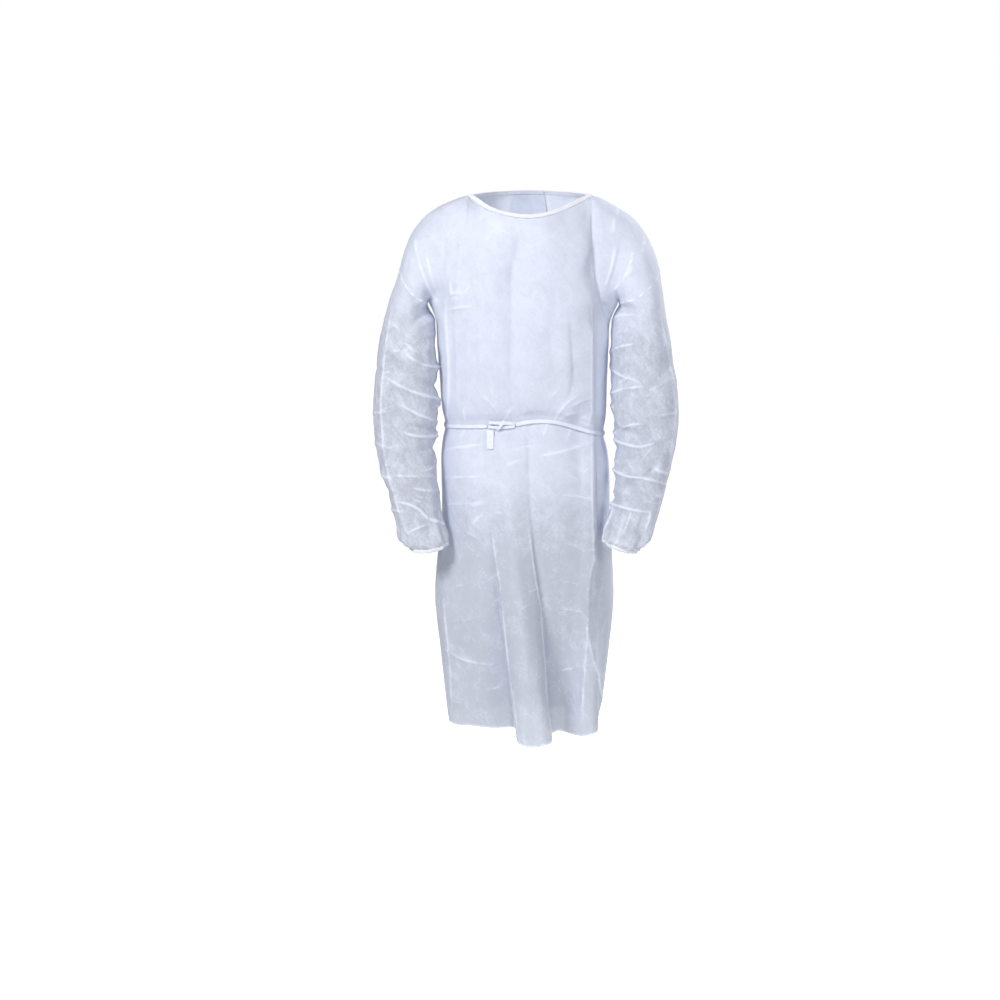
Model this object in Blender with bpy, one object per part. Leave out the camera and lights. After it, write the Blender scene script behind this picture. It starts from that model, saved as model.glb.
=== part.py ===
"""Isolation gown as worn: a front, two overlapping backs and two drop-shoulder sleeves of thin cloth, a bound
neck, elastic cuffs and a narrow waist tape knotted in front.

Metres, Z up. X runs to the image right and the front faces -Y. The origin lies between the shoulders, level
with the neck points, where the wearer holds the gown up.
"""

import math

import bmesh
import bpy
import numpy as np

COLLECTION = "isolation_gown"

# Cloth and tapes
CLOTH = 0.0015
BINDING = 0.0024
ELASTIC = 0.0018
SEAM_GAP = 0.0003
BAND_GAP = 0.0007  # the thicker binding and cuff bands draw back further from the seam
ARMPIT_EASE = 0.0008
ARMPIT_REACH = 0.028
BINDING_WIDTH = 0.010
ELASTIC_WIDTH = 0.008
TAPE_WIDTH = 0.0075
TAPE_THICKNESS = 0.0012
TAPE_CLEARANCE = 0.0007
TAPE_STEP = 0.013
STRAND_WIDTH = 0.0065  # the tape drawn narrower and thicker where it is knotted
STRAND_THICKNESS = 0.0026

# Levels
BELT_Z = -0.452
BELT_ROW = 17  # the body row just below the tape; the next one is just above it
HEM_Z = -1.067

# Grid of the cloth
CAP_ROWS = 8
SLEEVE_COLUMNS = 4 * CAP_ROWS

# Neck and shoulders
NECK_CENTRE = (0.009, -0.004)
NECK_SLOPE = {"round": 0.75, "shoulder": 0.30}  # rise of the bound edge for each metre of its width
BACK_NECK = 0.30
SHOULDER_BACK = 0.012  # the shoulder seam runs this far back from the neck to the sleeve
ROLL = {"shoulder": 90, "front_neck": 58, "back_neck": 62}  # how far the cloth rolls over at the top, degrees

# Finishes: colour (linear) and roughness
FINISHES = {
    "nonwoven": ((0.76, 0.79, 0.93), 0.75),
    "binding": ((0.80, 0.83, 0.95), 0.70),
    "elastic": ((0.72, 0.76, 0.80), 0.65),
    "tape": ((0.72, 0.75, 0.88), 0.72),
}


class Table:
    """Rows of sizes under named columns, read smoothly along the first column."""

    def __init__(self, names, *rows):
        self.names = names.split()
        self.values = np.array(rows, float)

    def column(self, name):
        return self.values[:, self.names.index(name)]

    def read(self, name, key):
        return smooth(self.values[:, 0], self.column(name), key)


def smooth(keys, values, key):
    """A smooth curve through the values, level beyond the first and the last."""
    slopes = np.gradient(values, keys)
    i = int(np.clip(np.searchsorted(keys, key) - 1, 0, len(keys) - 2))
    step = keys[i + 1] - keys[i]
    t = min(max((key - keys[i]) / step, 0.0), 1.0)
    rise = values[i] * (1 + 2 * t) * (1 - t) ** 2 + values[i + 1] * t * t * (3 - 2 * t)
    return rise + step * (slopes[i] * t * (1 - t) ** 2 + slopes[i + 1] * t * t * (t - 1))


def ramp(start, end, value):
    """0 at the start, 1 at the end, with soft ends."""
    t = min(max((value - start) / (end - start), 0.0), 1.0)
    return t * t * (3 - 2 * t)


# The body's cross-sections below the arms: half widths, front and back depth, the depth of the widest line,
# and how square the section is (2 is an ellipse).
SECTIONS = Table(
    "z left right front back side square",
    (-1.067, 0.155, 0.151, 0.078, 0.140, 0.020, 2.5),
    (-1.000, 0.163, 0.162, 0.092, 0.143, 0.020, 2.5),
    (-0.900, 0.173, 0.174, 0.108, 0.149, 0.020, 2.4),
    (-0.814, 0.182, 0.181, 0.122, 0.151, 0.018, 2.4),
    (-0.720, 0.176, 0.177, 0.132, 0.150, 0.015, 2.4),
    (-0.640, 0.167, 0.171, 0.138, 0.146, 0.012, 2.4),
    (-0.580, 0.167, 0.171, 0.139, 0.136, 0.012, 2.4),
    (-0.520, 0.168, 0.168, 0.134, 0.124, 0.012, 2.4),
    (-0.480, 0.164, 0.163, 0.120, 0.110, 0.012, 2.4),
    (-0.459, 0.160, 0.158, 0.109, 0.099, 0.012, 2.4),
    (-0.445, 0.160, 0.158, 0.109, 0.099, 0.012, 2.4),
    (-0.426, 0.165, 0.162, 0.119, 0.105, 0.020, 2.4),
    (-0.370, 0.170, 0.165, 0.127, 0.108, 0.028, 2.4),
    (-0.300, 0.175, 0.167, 0.130, 0.113, 0.030, 2.4),
    (-0.250, 0.176, 0.168, 0.128, 0.113, 0.026, 2.4),
    (-0.230, 0.179, 0.172, 0.126, 0.112, 0.018, 2.4),
    (-0.213, 0.189, 0.182, 0.124, 0.112, 0.012, 2.4),
)

# The rows of the body grid, from the hem up to the armpits.
BODY_ROWS = (
    -1.067, -1.030, -0.990, -0.950, -0.905, -0.860, -0.820, -0.785, -0.760, -0.740, -0.720, -0.695,
    -0.655, -0.605, -0.555, -0.512, -0.480, -0.459, -0.445, -0.426, -0.400, -0.368, -0.330, -0.305,
    -0.285, -0.268, -0.250, -0.230, -0.213,
)

# The height of the waist tape in front, by X; it rises over the middle and drops to the right side.
BELT_LINE = Table(
    "x z",
    (-0.164, -0.4575),
    (-0.075, -0.4530),
    (-0.030, -0.4520),
    (0.000, -0.4445),
    (0.050, -0.4433),
    (0.120, -0.4630),
    (0.160, -0.4740),
)
BELT_REACH = 0.055  # how far above and below the tape the cloth's rows follow its slope

# The neck edge, from one neck point round the front to the other, and the same round the back.
NECK_FRONT = Table(
    "step x y z",
    (0.0, -0.105, 0.000, -0.002),
    (1.0, -0.058, -0.069, -0.034),
    (2.0, 0.000, -0.085, -0.045),
    (3.0, 0.053, -0.070, -0.036),
    (4.0, 0.124, 0.000, -0.002),
)
NECK_BACK = Table(
    "step x y z",
    (0.0, -0.105, 0.000, -0.002),
    (1.0, -0.064, 0.050, 0.006),
    (2.0, 0.009, 0.070, 0.010),
    (3.0, 0.082, 0.050, 0.006),
    (4.0, 0.124, 0.000, -0.002),
)

# The shoulder line from the binding out to the sleeve seam.
SHOULDERS = {
    "left": Table(
        "step x z",
        (0.0, -0.114, -0.003),
        (1.0, -0.154, -0.016),
        (2.0, -0.184, -0.032),
        (3.0, -0.208, -0.049),
        (4.0, -0.224, -0.076),
        (5.0, -0.240, -0.112),
        (6.0, -0.250, -0.148),
    ),
    "right": Table(
        "step x z",
        (0.0, 0.133, -0.004),
        (1.0, 0.164, -0.016),
        (2.0, 0.196, -0.033),
        (3.0, 0.224, -0.056),
        (4.0, 0.246, -0.092),
        (5.0, 0.262, -0.124),
        (6.0, 0.268, -0.150),
    ),
}

# The sleeves, ring by ring: outer and inner edge, the ring's centre in depth, its half depth, how far its
# front dips, and how far each gather stands out.
SLEEVES = {
    "left": Table(
        "step outer_x outer_z inner_x inner_z centre depth dip gather",
        (0.0, -0.250, -0.148, -0.189, -0.213, 0.012, 0.084, 0.018, 0.0),
        (1.0, -0.263, -0.188, -0.200, -0.2195, 0.008, 0.084, 0.014, 0.0),
        (2.0, -0.276, -0.232, -0.189, -0.238, 0.000, 0.081, 0.008, 0.0),
        (3.0, -0.287, -0.280, -0.1785, -0.272, -0.012, 0.077, 0.004, 0.0),
        (4.0, -0.294, -0.328, -0.1765, -0.322, -0.020, 0.073, 0.0, 0.0),
        (5.0, -0.299, -0.378, -0.1745, -0.375, -0.026, 0.070, 0.0, 0.0),
        (6.0, -0.301, -0.428, -0.1735, -0.428, -0.032, 0.067, 0.0, 0.0),
        (7.0, -0.299, -0.476, -0.177, -0.474, -0.042, 0.062, 0.0, 0.0),
        (8.0, -0.290, -0.522, -0.177, -0.518, -0.052, 0.058, 0.003, 0.0),
        (9.0, -0.277, -0.566, -0.174, -0.560, -0.064, 0.053, 0.006, 0.0006),
        (10.0, -0.264, -0.608, -0.169, -0.602, -0.077, 0.049, 0.008, 0.0012),
        (11.0, -0.253, -0.646, -0.163, -0.640, -0.089, 0.046, 0.010, 0.0022),
        (12.0, -0.244, -0.678, -0.154, -0.668, -0.098, 0.043, 0.010, 0.0032),
        (13.0, -0.226, -0.688, -0.153, -0.678, -0.102, 0.031, 0.008, 0.0022),
    ),
    "right": Table(
        "step outer_x outer_z inner_x inner_z centre depth dip gather",
        (0.0, 0.268, -0.150, 0.182, -0.213, 0.012, 0.084, 0.018, 0.0),
        (1.0, 0.274, -0.192, 0.193, -0.2195, 0.008, 0.084, 0.014, 0.0),
        (2.0, 0.280, -0.238, 0.182, -0.239, 0.000, 0.081, 0.008, 0.0),
        (3.0, 0.288, -0.284, 0.1705, -0.274, -0.012, 0.077, 0.004, 0.0),
        (4.0, 0.295, -0.330, 0.1685, -0.324, -0.020, 0.073, 0.0, 0.0),
        (5.0, 0.301, -0.378, 0.1685, -0.376, -0.026, 0.070, 0.0, 0.0),
        (6.0, 0.302, -0.428, 0.1705, -0.428, -0.032, 0.067, 0.0, 0.0),
        (7.0, 0.299, -0.476, 0.177, -0.474, -0.042, 0.062, 0.0, 0.0),
        (8.0, 0.290, -0.522, 0.178, -0.518, -0.052, 0.058, 0.003, 0.0),
        (9.0, 0.278, -0.566, 0.176, -0.560, -0.064, 0.053, 0.006, 0.0006),
        (10.0, 0.268, -0.608, 0.173, -0.602, -0.077, 0.049, 0.008, 0.0012),
        (11.0, 0.256, -0.646, 0.161, -0.640, -0.089, 0.046, 0.010, 0.0022),
        (12.0, 0.240, -0.682, 0.156, -0.664, -0.098, 0.043, 0.010, 0.0032),
        (13.0, 0.224, -0.690, 0.152, -0.672, -0.102, 0.031, 0.008, 0.0022),
    ),
}
SLEEVE_SQUARE = 2.25
GATHERS = SLEEVE_COLUMNS // 4

# The large fold down the middle of the skirt: it starts at the waist, drifts right and stands out like a box.
MIDDLE_FOLD = Table(
    "z x half rise box",
    (-1.067, 0.014, 0.034, 0.122, 1.0),
    (-1.000, 0.008, 0.034, 0.100, 0.9),
    (-0.900, 0.000, 0.036, 0.074, 0.7),
    (-0.814, -0.009, 0.038, 0.050, 0.5),
    (-0.720, -0.019, 0.041, 0.030, 0.3),
    (-0.640, -0.028, 0.044, 0.017, 0.1),
    (-0.560, -0.037, 0.048, 0.008, 0.0),
    (-0.470, -0.045, 0.052, 0.001, 0.0),
    (-0.213, -0.040, 0.056, 0.0, 0.0),
)
MIDDLE_STEPS = (-1.3, -1.0, -0.84, -0.55, 0.0, 0.55, 0.84, 1.0, 1.3)
MIDDLE_LOOSE = (-1.3, -0.95, -0.63, -0.32, 0.0, 0.32, 0.63, 0.95, 1.3)

# The pleat at the right of the front: a knife edge with the cloth doubled under it. Each step gives the place
# along the cloth folded and unfolded, and how far it stands out, against the edge.
PLEAT_EDGE = Table(
    "z x",
    (-1.067, 0.114),
    (-0.860, 0.124),
    (-0.720, 0.134),
    (-0.452, 0.131),
    (-0.300, 0.128),
    (-0.213, 0.124),
)
PLEAT = Table(
    "step folded unfolded out_folded out_unfolded",
    (0.0, -0.034, -0.034, 0.0000, 0.0000),
    (1.0, -0.021, -0.023, 0.0055, 0.0045),
    (2.0, -0.011, -0.015, 0.0088, 0.0080),
    (3.0, -0.002, -0.009, 0.0092, 0.0092),
    (4.0, 0.000, -0.0045, 0.0072, 0.0082),
    (5.0, -0.003, -0.0022, 0.0052, 0.0060),
    (6.0, -0.013, 0.0055, 0.0042, 0.0034),
    (7.0, -0.015, 0.0075, 0.0020, 0.0012),
    (8.0, -0.010, 0.0125, -0.0004, 0.0002),
    (9.0, 0.004, 0.0190, -0.0006, 0.0000),
    (10.0, 0.024, 0.0260, 0.0000, 0.0000),
)
PLEAT_TOP = (-0.212, -0.335)
PLEAT_END = (-0.860, -0.690)
PLEAT_WAVE = {"start": -0.760, "rise": 0.046, "half": 0.040}

# The left edge of the chest panel's soft strip, which the left columns follow down to the hem.
LEFT_STRIP = Table("z x", (-1.067, -0.130), (-0.814, -0.150), (-0.452, -0.136), (-0.213, -0.140))
LEFT_NECK_X = -0.104
LEFT_COLUMNS = 6
RIGHT_SHARES = (0.21, 0.42, 0.63, 1.0)  # the columns from the pleat to the right side seam
RIGHT_COLUMNS = len(RIGHT_SHARES)
BETWEEN_COLUMNS = 3
BACK_NECK_COLUMNS = 6

# The backs overlap at the middle: how far each edge passes it, and how far the upper one stands off.
BACK_OVERLAP = Table("z past", (-1.067, 0.080), (-0.452, 0.075), (-0.213, 0.060), (0.010, 0.030))
OVERLAP_LIFT = 0.0055

# Soft ridges and troughs of the CAD walls, drawn in the view they are seen in: from, to, half width, height.
CREASES = {
    "front": Table(
        "x0 z0 x1 z1 half out",
        (-0.156, -0.030, -0.174, -0.120, 0.022, -0.007),
        (-0.174, -0.120, -0.178, -0.185, 0.022, -0.007),
        (-0.226, -0.095, -0.205, -0.180, 0.020, 0.005),
        (-0.150, -0.160, -0.150, -0.400, 0.014, 0.005),
        (0.130, -0.040, 0.138, -0.150, 0.018, -0.008),
        (0.138, -0.150, 0.158, -0.235, 0.020, -0.008),
        (0.222, -0.110, 0.196, -0.180, 0.020, 0.005),
        (0.000, -0.090, -0.028, -0.170, 0.024, -0.006),
        (-0.028, -0.170, -0.030, -0.420, 0.022, -0.005),
        (-0.055, -0.060, -0.130, -0.180, 0.022, 0.004),
        (0.090, -0.240, 0.092, -0.410, 0.020, 0.005),
        (0.060, -0.440, 0.110, -0.390, 0.014, 0.004),
        (-0.152, -0.800, -0.138, -1.060, 0.020, 0.008),
        (-0.090, -0.560, -0.070, -1.067, 0.030, 0.006),
    ),
    "back": Table(
        "x0 z0 x1 z1 half out",
        (-0.150, -0.050, -0.165, -0.200, 0.018, -0.007),
        (0.150, -0.050, 0.165, -0.200, 0.018, -0.007),
        (-0.100, -0.480, -0.112, -1.067, 0.026, 0.012),
        (0.110, -0.480, 0.118, -1.067, 0.028, 0.014),
        (-0.105, -0.160, -0.090, -0.420, 0.022, 0.005),
        (0.115, -0.160, 0.095, -0.420, 0.022, 0.005),
    ),
    "sleeve_left": Table(
        "x0 z0 x1 z1 half out",
        (-0.180, -0.440, -0.290, -0.370, 0.014, 0.005),
        (-0.180, -0.470, -0.296, -0.455, 0.013, -0.005),
        (-0.176, -0.500, -0.285, -0.540, 0.013, 0.004),
        (-0.260, -0.590, -0.180, -0.620, 0.012, -0.004),
        (-0.200, -0.240, -0.270, -0.330, 0.016, -0.005),
    ),
    "sleeve_right": Table(
        "x0 z0 x1 z1 half out",
        (0.180, -0.440, 0.290, -0.375, 0.014, 0.005),
        (0.178, -0.545, 0.275, -0.575, 0.013, -0.005),
        (0.176, -0.500, 0.290, -0.505, 0.013, 0.004),
        (0.176, -0.620, 0.255, -0.635, 0.012, -0.004),
        (0.200, -0.240, 0.272, -0.330, 0.016, -0.005),
    ),
}

# The waist knot and tail, in front.
KNOT_X = (-0.074, -0.020)
TAPE_GAP = 0.0010
TAIL = {"x": -0.069, "width": 0.0136, "top": -0.4584, "end": -0.4960}

# The strands of the two knots, as stops along each: X, Z and how far it stands off the cloth.
WAIST_KNOT = {
    "over": Table(
        "step x z off",
        (0.0, -0.0206, -0.4474, 0.0022),
        (1.0, -0.0300, -0.4466, 0.0048),
        (2.0, -0.0430, -0.4462, 0.0066),
        (3.0, -0.0580, -0.4458, 0.0058),
        (4.0, -0.0718, -0.4452, 0.0044),
    ),
    "under": Table(
        "step x z off",
        (0.0, -0.0732, -0.4538, 0.0022),
        (1.0, -0.0620, -0.4546, 0.0030),
        (2.0, -0.0460, -0.4546, 0.0036),
        (3.0, -0.0320, -0.4534, 0.0030),
        (4.0, -0.0210, -0.4520, 0.0022),
    ),
    "wrap": Table(
        "step x z off",
        (0.0, -0.0560, -0.4585, 0.0030),
        (1.0, -0.0530, -0.4560, 0.0070),
        (2.0, -0.0480, -0.4500, 0.0086),
        (3.0, -0.0440, -0.4440, 0.0070),
        (4.0, -0.0420, -0.4415, 0.0040),
    ),
}
NECK_KNOT = {"x": 0.004, "z": 0.004, "width": 0.020, "height": 0.012, "depth": 0.006, "off": 0.0043}
NECK_TAIL_WIDTH = 0.0105
NECK_TAIL_TOP = 0.004  # how far the tails reach up into the knot
NECK_TAILS = Table(
    "x0 x1 length",
    (-0.002, -0.016, 0.105),
    (0.010, 0.026, 0.088),
)


def section_line(z, face, samples=160):
    """The plan of one half of a section from the left side to the right: distance along it and points."""
    left, right = SECTIONS.read("left", z), SECTIONS.read("right", z)
    side, square = SECTIONS.read("side", z), SECTIONS.read("square", z)
    reach = -SECTIONS.read("front", z) - side if face == "front" else SECTIONS.read("back", z) - side
    turn = np.linspace(-math.pi / 2, math.pi / 2, samples)
    x = np.sign(turn) * np.abs(np.sin(turn)) ** (2 / square)
    x = np.where(x < 0, x * left, x * right)
    y = side + reach * np.abs(np.cos(turn)) ** (2 / square)
    plan = np.column_stack([x, y])
    along = np.concatenate([[0.0], np.cumsum(np.linalg.norm(np.diff(plan, axis=0), axis=1))])
    return along, plan


def on_line(along, plan, distance):
    """The point of a plan line at a distance along it, and the outward direction there."""
    point = np.array([np.interp(distance, along, plan[:, i]) for i in (0, 1)])
    ahead = np.array([np.interp(distance + 0.004, along, plan[:, i]) for i in (0, 1)])
    behind = np.array([np.interp(distance - 0.004, along, plan[:, i]) for i in (0, 1)])
    along_it = (ahead - behind) / np.linalg.norm(ahead - behind)
    outward = np.array([along_it[1], -along_it[0]])
    return point, outward if plan[len(plan) // 2, 1] < 0 else -outward


def belt_height(x, y):
    """The height of the waist tape's middle at a place round the body."""
    left, right = BELT_LINE.values[0], BELT_LINE.values[-1]
    if y < SECTIONS.read("side", BELT_Z):
        return BELT_LINE.read("z", float(np.clip(x, left[0], right[0])))
    return left[1] + (right[1] - left[1]) * (x - left[0]) / (right[0] - left[0])


def belt_shift(z, x, y):
    """How far a row near the waist moves up or down to follow the tape."""
    return (belt_height(x, y) - BELT_Z) * math.exp(-(((z - BELT_Z) / BELT_REACH) ** 2))


def fold_profile(step, box):
    """How far the cloth stands out across the middle fold, from 0 at its foot to 1 at its crest."""
    reach = min(abs(step), 1.0)
    soft = math.cos(reach * math.pi / 2) ** 2
    return (1 - box) * soft + box * (1 - ramp(0.76, 1.0, reach))


def pleat_state(z):
    """How far the pleat stands out and how far it is folded at a level, each from 0 to 1."""
    state = ramp(*PLEAT_TOP, z) * ramp(*PLEAT_END, z)
    return min(1.0, 2 * state), max(0.0, 2 * state - 1)


def front_row(z):
    """One row of the front panel below the arms, from the left side seam to the right."""
    along, plan = section_line(z, "front")
    at_x = lambda x: float(np.interp(x, plan[:, 0], along))
    middle, half, rise, box = (MIDDLE_FOLD.read(name, z) for name in ("x", "half", "rise", "box"))
    edge = at_x(PLEAT_EDGE.read("x", z))
    out, folded = pleat_state(z)
    loose = ramp(-0.70, -0.45, z)
    centre = at_x(middle)
    places = []
    steps = [a + (b - a) * loose for a, b in zip(MIDDLE_STEPS, MIDDLE_LOOSE)]
    strip, neck = at_x(LEFT_STRIP.read("x", z)), min(at_x(LEFT_NECK_X), centre + steps[0] * half - 0.012)
    for share in (0.0, 0.36, 0.72, 1.0):
        places.append((share * strip, 0.0))
    places += [(strip + (neck - strip) * share, 0.0) for share in (0.5, 1.0)]
    fold = [(centre + s * half, rise * fold_profile(s, box)) for s in steps]
    places.append(((places[-1][0] + fold[0][0]) / 2, 0.0))
    places += fold
    pleat = []
    wave = PLEAT_WAVE["rise"] * ramp(PLEAT_WAVE["start"], HEM_Z, z)
    for _, tucked, flat, out_tucked, out_flat in PLEAT.values:
        place = flat + (tucked - flat) * folded
        stands = out_flat + (out_tucked - out_flat) * folded
        crest = math.cos(min(abs(place / PLEAT_WAVE["half"]), 1.0) * math.pi / 2) ** 2
        pleat.append((edge + place, stands * out + wave * crest))
    start, end = fold[-1][0], pleat[0][0]
    places += [(start + (end - start) * i / BETWEEN_COLUMNS, 0.0) for i in range(1, BETWEEN_COLUMNS)]
    places += pleat
    start, end = pleat[-1][0], along[-1]
    places += [(start + (end - start) * share, 0.0) for share in RIGHT_SHARES]
    row = []
    for distance, lift in places:
        point, outward = on_line(along, plan, distance)
        x, y = point + outward * lift
        row.append((x, y, z + belt_shift(z, x, y)))
    return row


def back_row(z, side):
    """One row of a back panel below the arms, from its side seam past the middle of the back."""
    along, plan = section_line(z, "back")
    middle = float(np.interp(0.0, plan[:, 0], along))
    reach = middle if side == "left" else along[-1] - middle
    past = BACK_OVERLAP.read("past", z)
    ridge = LEFT_COLUMNS if side == "left" else RIGHT_COLUMNS
    columns = ridge + BACK_NECK_COLUMNS
    row = []
    for i in range(columns + 1):
        distance = (reach + past) * i / columns
        from_left = distance if side == "left" else along[-1] - distance
        point, outward = on_line(along, plan, from_left)
        near = 1 - ramp(past, past + 0.05, abs(reach - distance)) if distance < reach else 1.0
        lift = OVERLAP_LIFT * near * (0.5 if side == "right" else -0.5)
        x, y = point + outward * lift
        row.append((x, y, z + belt_shift(z, x, y)))
    return row


def neck_curve(table, share, drop):
    """A point of the neck edge, or of the binding's seam a drop below it, at a share of the way round."""
    samples = np.array([[table.read(n, s) for n in "xyz"] for s in np.linspace(0, 4, 81)])
    lengths = np.concatenate([[0.0], np.cumsum(np.linalg.norm(np.diff(samples, axis=0), axis=1))])
    at = lambda d: np.array([np.interp(d, lengths, samples[:, i]) for i in range(3)])
    distance = share * lengths[-1]
    point = at(distance)
    along_it = at(distance + 0.006) - at(distance - 0.006)
    outward = np.array([along_it[1], -along_it[0], 0.0])
    outward /= np.linalg.norm(outward)
    if table is NECK_BACK:
        outward = -outward
    at_shoulder = abs(2 * share - 1) ** 6
    outward = outward * (1 - at_shoulder) + np.array([math.copysign(1, share - 0.5), 0, 0]) * at_shoulder
    slope = NECK_SLOPE["round"] + (NECK_SLOPE["shoulder"] - NECK_SLOPE["round"]) * at_shoulder
    return point + drop * (outward * math.sqrt(1 - slope**2) - np.array([0, 0, slope]))


def shoulder_point(side, share):
    """A point of the shoulder line, from the binding (0) to the sleeve seam (1)."""
    table = SHOULDERS[side]
    samples = np.array([[table.read(n, s) for n in "xz"] for s in np.linspace(0, 6, 61)])
    lengths = np.concatenate([[0.0], np.cumsum(np.linalg.norm(np.diff(samples, axis=0), axis=1))])
    x, z = (np.interp(share * lengths[-1], lengths, samples[:, i]) for i in (0, 1))
    start = neck_curve(NECK_FRONT, 0.0 if side == "left" else 1.0, BINDING_WIDTH)
    near = (1 - share) ** 4
    y = SHOULDER_BACK * ramp(0, 1, share)
    return np.array([x, y, z]) * (1 - near) + start * near


def sleeve_ring(side, step, columns):
    """One ring of a sleeve, from the armpit round the front to the outside and back."""
    table = SLEEVES[side]
    read = lambda name: table.read(name, step)
    inner = np.array([read("inner_x"), read("centre"), read("inner_z")])
    outer = np.array([read("outer_x"), read("centre"), read("outer_z")])
    ring = []
    for i in range(columns):
        turn = 2 * math.pi * i / columns
        across, deep = math.cos(turn), math.sin(turn)
        across = math.copysign(abs(across) ** (2 / SLEEVE_SQUARE), across)
        deep = math.copysign(abs(deep) ** (2 / SLEEVE_SQUARE), deep)
        gather = 1 + read("gather") / read("depth") * math.cos(GATHERS * turn)
        point = (inner + outer) / 2 + (inner - outer) / 2 * across * gather
        point = point + np.array([0, -read("depth") * deep * gather, -read("dip") * deep * abs(deep)])
        ring.append(point)
    return ring


def lofted(low, top, share, roll):
    """A point between the armpit row and the top row, rolling over towards the shoulder."""
    end = math.radians(roll)
    up = math.sin(end * share) / math.sin(end)
    over = (1 - math.cos(end * share)) / (1 - math.cos(end))
    point = np.array(low) * (1 - share) + np.array(top) * share
    point[1] = low[1] + (top[1] - low[1]) * over
    point[2] = low[2] + (top[2] - low[2]) * up
    return point


class Cloth:
    """The middle surface of the gown: shared points, and for each panel a grid of their numbers."""

    def __init__(self):
        self.points = []
        self.panels = {}

    def add(self, point):
        self.points.append(np.array(point, float))
        return len(self.points) - 1

    def normals(self):
        total = np.zeros((len(self.points), 3))
        places = np.array(self.points)
        for grid, flip, closed in self.panels.values():
            for a, b, c, d in quads(grid, flip, closed):
                normal = np.cross(places[c] - places[a], places[d] - places[b])
                for corner in (a, b, c, d):
                    total[corner] += normal
        return total / np.maximum(np.linalg.norm(total, axis=1), 1e-12)[:, None]


def quads(grid, flip, closed):
    """The four-sided faces of a grid of point numbers, facing out of the garment."""
    columns = len(grid[0])
    faces = []
    for lower, upper in zip(grid, grid[1:]):
        for i in range(columns if closed else columns - 1):
            j = (i + 1) % columns
            face = (lower[i], lower[j], upper[j], upper[i])
            faces.append(face[::-1] if flip else face)
    return faces


def cap_rows(cloth, low, tops, side_points, rolls, reach):
    """The rows above the armpits of one panel; side_points holds the sleeve seam at each end, or None."""
    rows = []
    count = len(low)
    for step in range(1, CAP_ROWS + 1):
        share = step / CAP_ROWS
        row = [lofted(low[i], tops[i], share, rolls[i]) for i in range(count)]
        for end, points in side_points.items():
            corner = 0 if end == "first" else count - 1
            pull = points[step] - row[corner]
            for i in range(reach[end] + 1):
                place = i if end == "first" else count - 1 - i
                row[place] = row[place] + pull * (1 - i / reach[end]) ** 2
        rows.append(row)
    return rows


def build_cloth():
    """The whole middle surface, with the seams' points shared between panels."""
    cloth = Cloth()
    armholes = {side: sleeve_ring(side, 0, 2 * CAP_ROWS) for side in ("left", "right")}
    low = [front_row(z) for z in BODY_ROWS]
    count = len(low[0])
    neck_first, neck_last = LEFT_COLUMNS - 1, count - 1 - RIGHT_COLUMNS
    armpit = low[-1]
    armpit[0], armpit[-1] = tuple(armholes["left"][0]), tuple(armholes["right"][0])
    tops, rolls = [], []
    for i in range(count):
        if i < neck_first:
            tops.append(shoulder_point("left", 1 - i / neck_first))
            rolls.append(ROLL["shoulder"])
        elif i > neck_last:
            tops.append(shoulder_point("right", (i - neck_last) / RIGHT_COLUMNS))
            rolls.append(ROLL["shoulder"])
        else:
            share = (armpit[i][0] - armpit[neck_first][0]) / (armpit[neck_last][0] - armpit[neck_first][0])
            tops.append(neck_curve(NECK_FRONT, share, BINDING_WIDTH))
            side_share = abs(2 * share - 1) ** 3
            rolls.append(ROLL["front_neck"] + (ROLL["shoulder"] - ROLL["front_neck"]) * side_share)
    seams = {
        "first": [armholes["left"][k] for k in range(CAP_ROWS + 1)],
        "last": [armholes["right"][k] for k in range(CAP_ROWS + 1)],
    }
    reach = {"first": neck_first, "last": RIGHT_COLUMNS}
    rows = low + cap_rows(cloth, armpit, tops, seams, rolls, reach)
    front = [[cloth.add(p) for p in row] for row in rows]
    cloth.panels["front_panel"] = (front, False, False)
    body = len(BODY_ROWS)
    for side in ("left", "right"):
        first = 0 if side == "left" else count - 1
        inward = 1 if side == "left" else -1
        ridge = neck_first if side == "left" else RIGHT_COLUMNS
        low_back = [back_row(z, side) for z in BODY_ROWS]
        armpit = low_back[-1]
        columns = len(armpit)
        armpit[0] = tuple(armholes[side][0])
        tops, rolls = [], []
        for i in range(columns):
            if i <= ridge:
                tops.append(cloth.points[front[-1][first + inward * i]])
                rolls.append(ROLL["shoulder"])
            else:
                part = (i - ridge) / (columns - 1 - ridge)
                past = 0.5 + BACK_OVERLAP.read("past", 0.010) / BACK_NECK
                share = part * past if side == "left" else 1 - part * past
                point = neck_curve(NECK_BACK, share, BINDING_WIDTH)
                lift = OVERLAP_LIFT * ramp(0.55, 0.85, part) * (0.5 if side == "right" else -0.5)
                tops.append(point + np.array([0, lift, 0]))
                rolls.append(ROLL["shoulder"] + (ROLL["back_neck"] - ROLL["shoulder"]) * ramp(0, 1, part))
        seam = [armholes[side][-k] for k in range(CAP_ROWS + 1)]
        rows = low_back + cap_rows(cloth, armpit, tops, {"first": seam}, rolls, {"first": ridge})
        grid = []
        for r, row in enumerate(rows):
            line = []
            for i, point in enumerate(row):
                shared = i == 0 and (r < body or r == len(rows) - 1) or r == len(rows) - 1 and i <= ridge
                line.append(front[r][first + inward * i] if shared else cloth.add(point))
            grid.append(line)
        cloth.panels["back_panel_" + side] = (grid, side == "left", False)
    for side in ("left", "right"):
        add_sleeve(cloth, front, side, body)
    add_binding(cloth, front, neck_first, neck_last)
    return cloth


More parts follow.
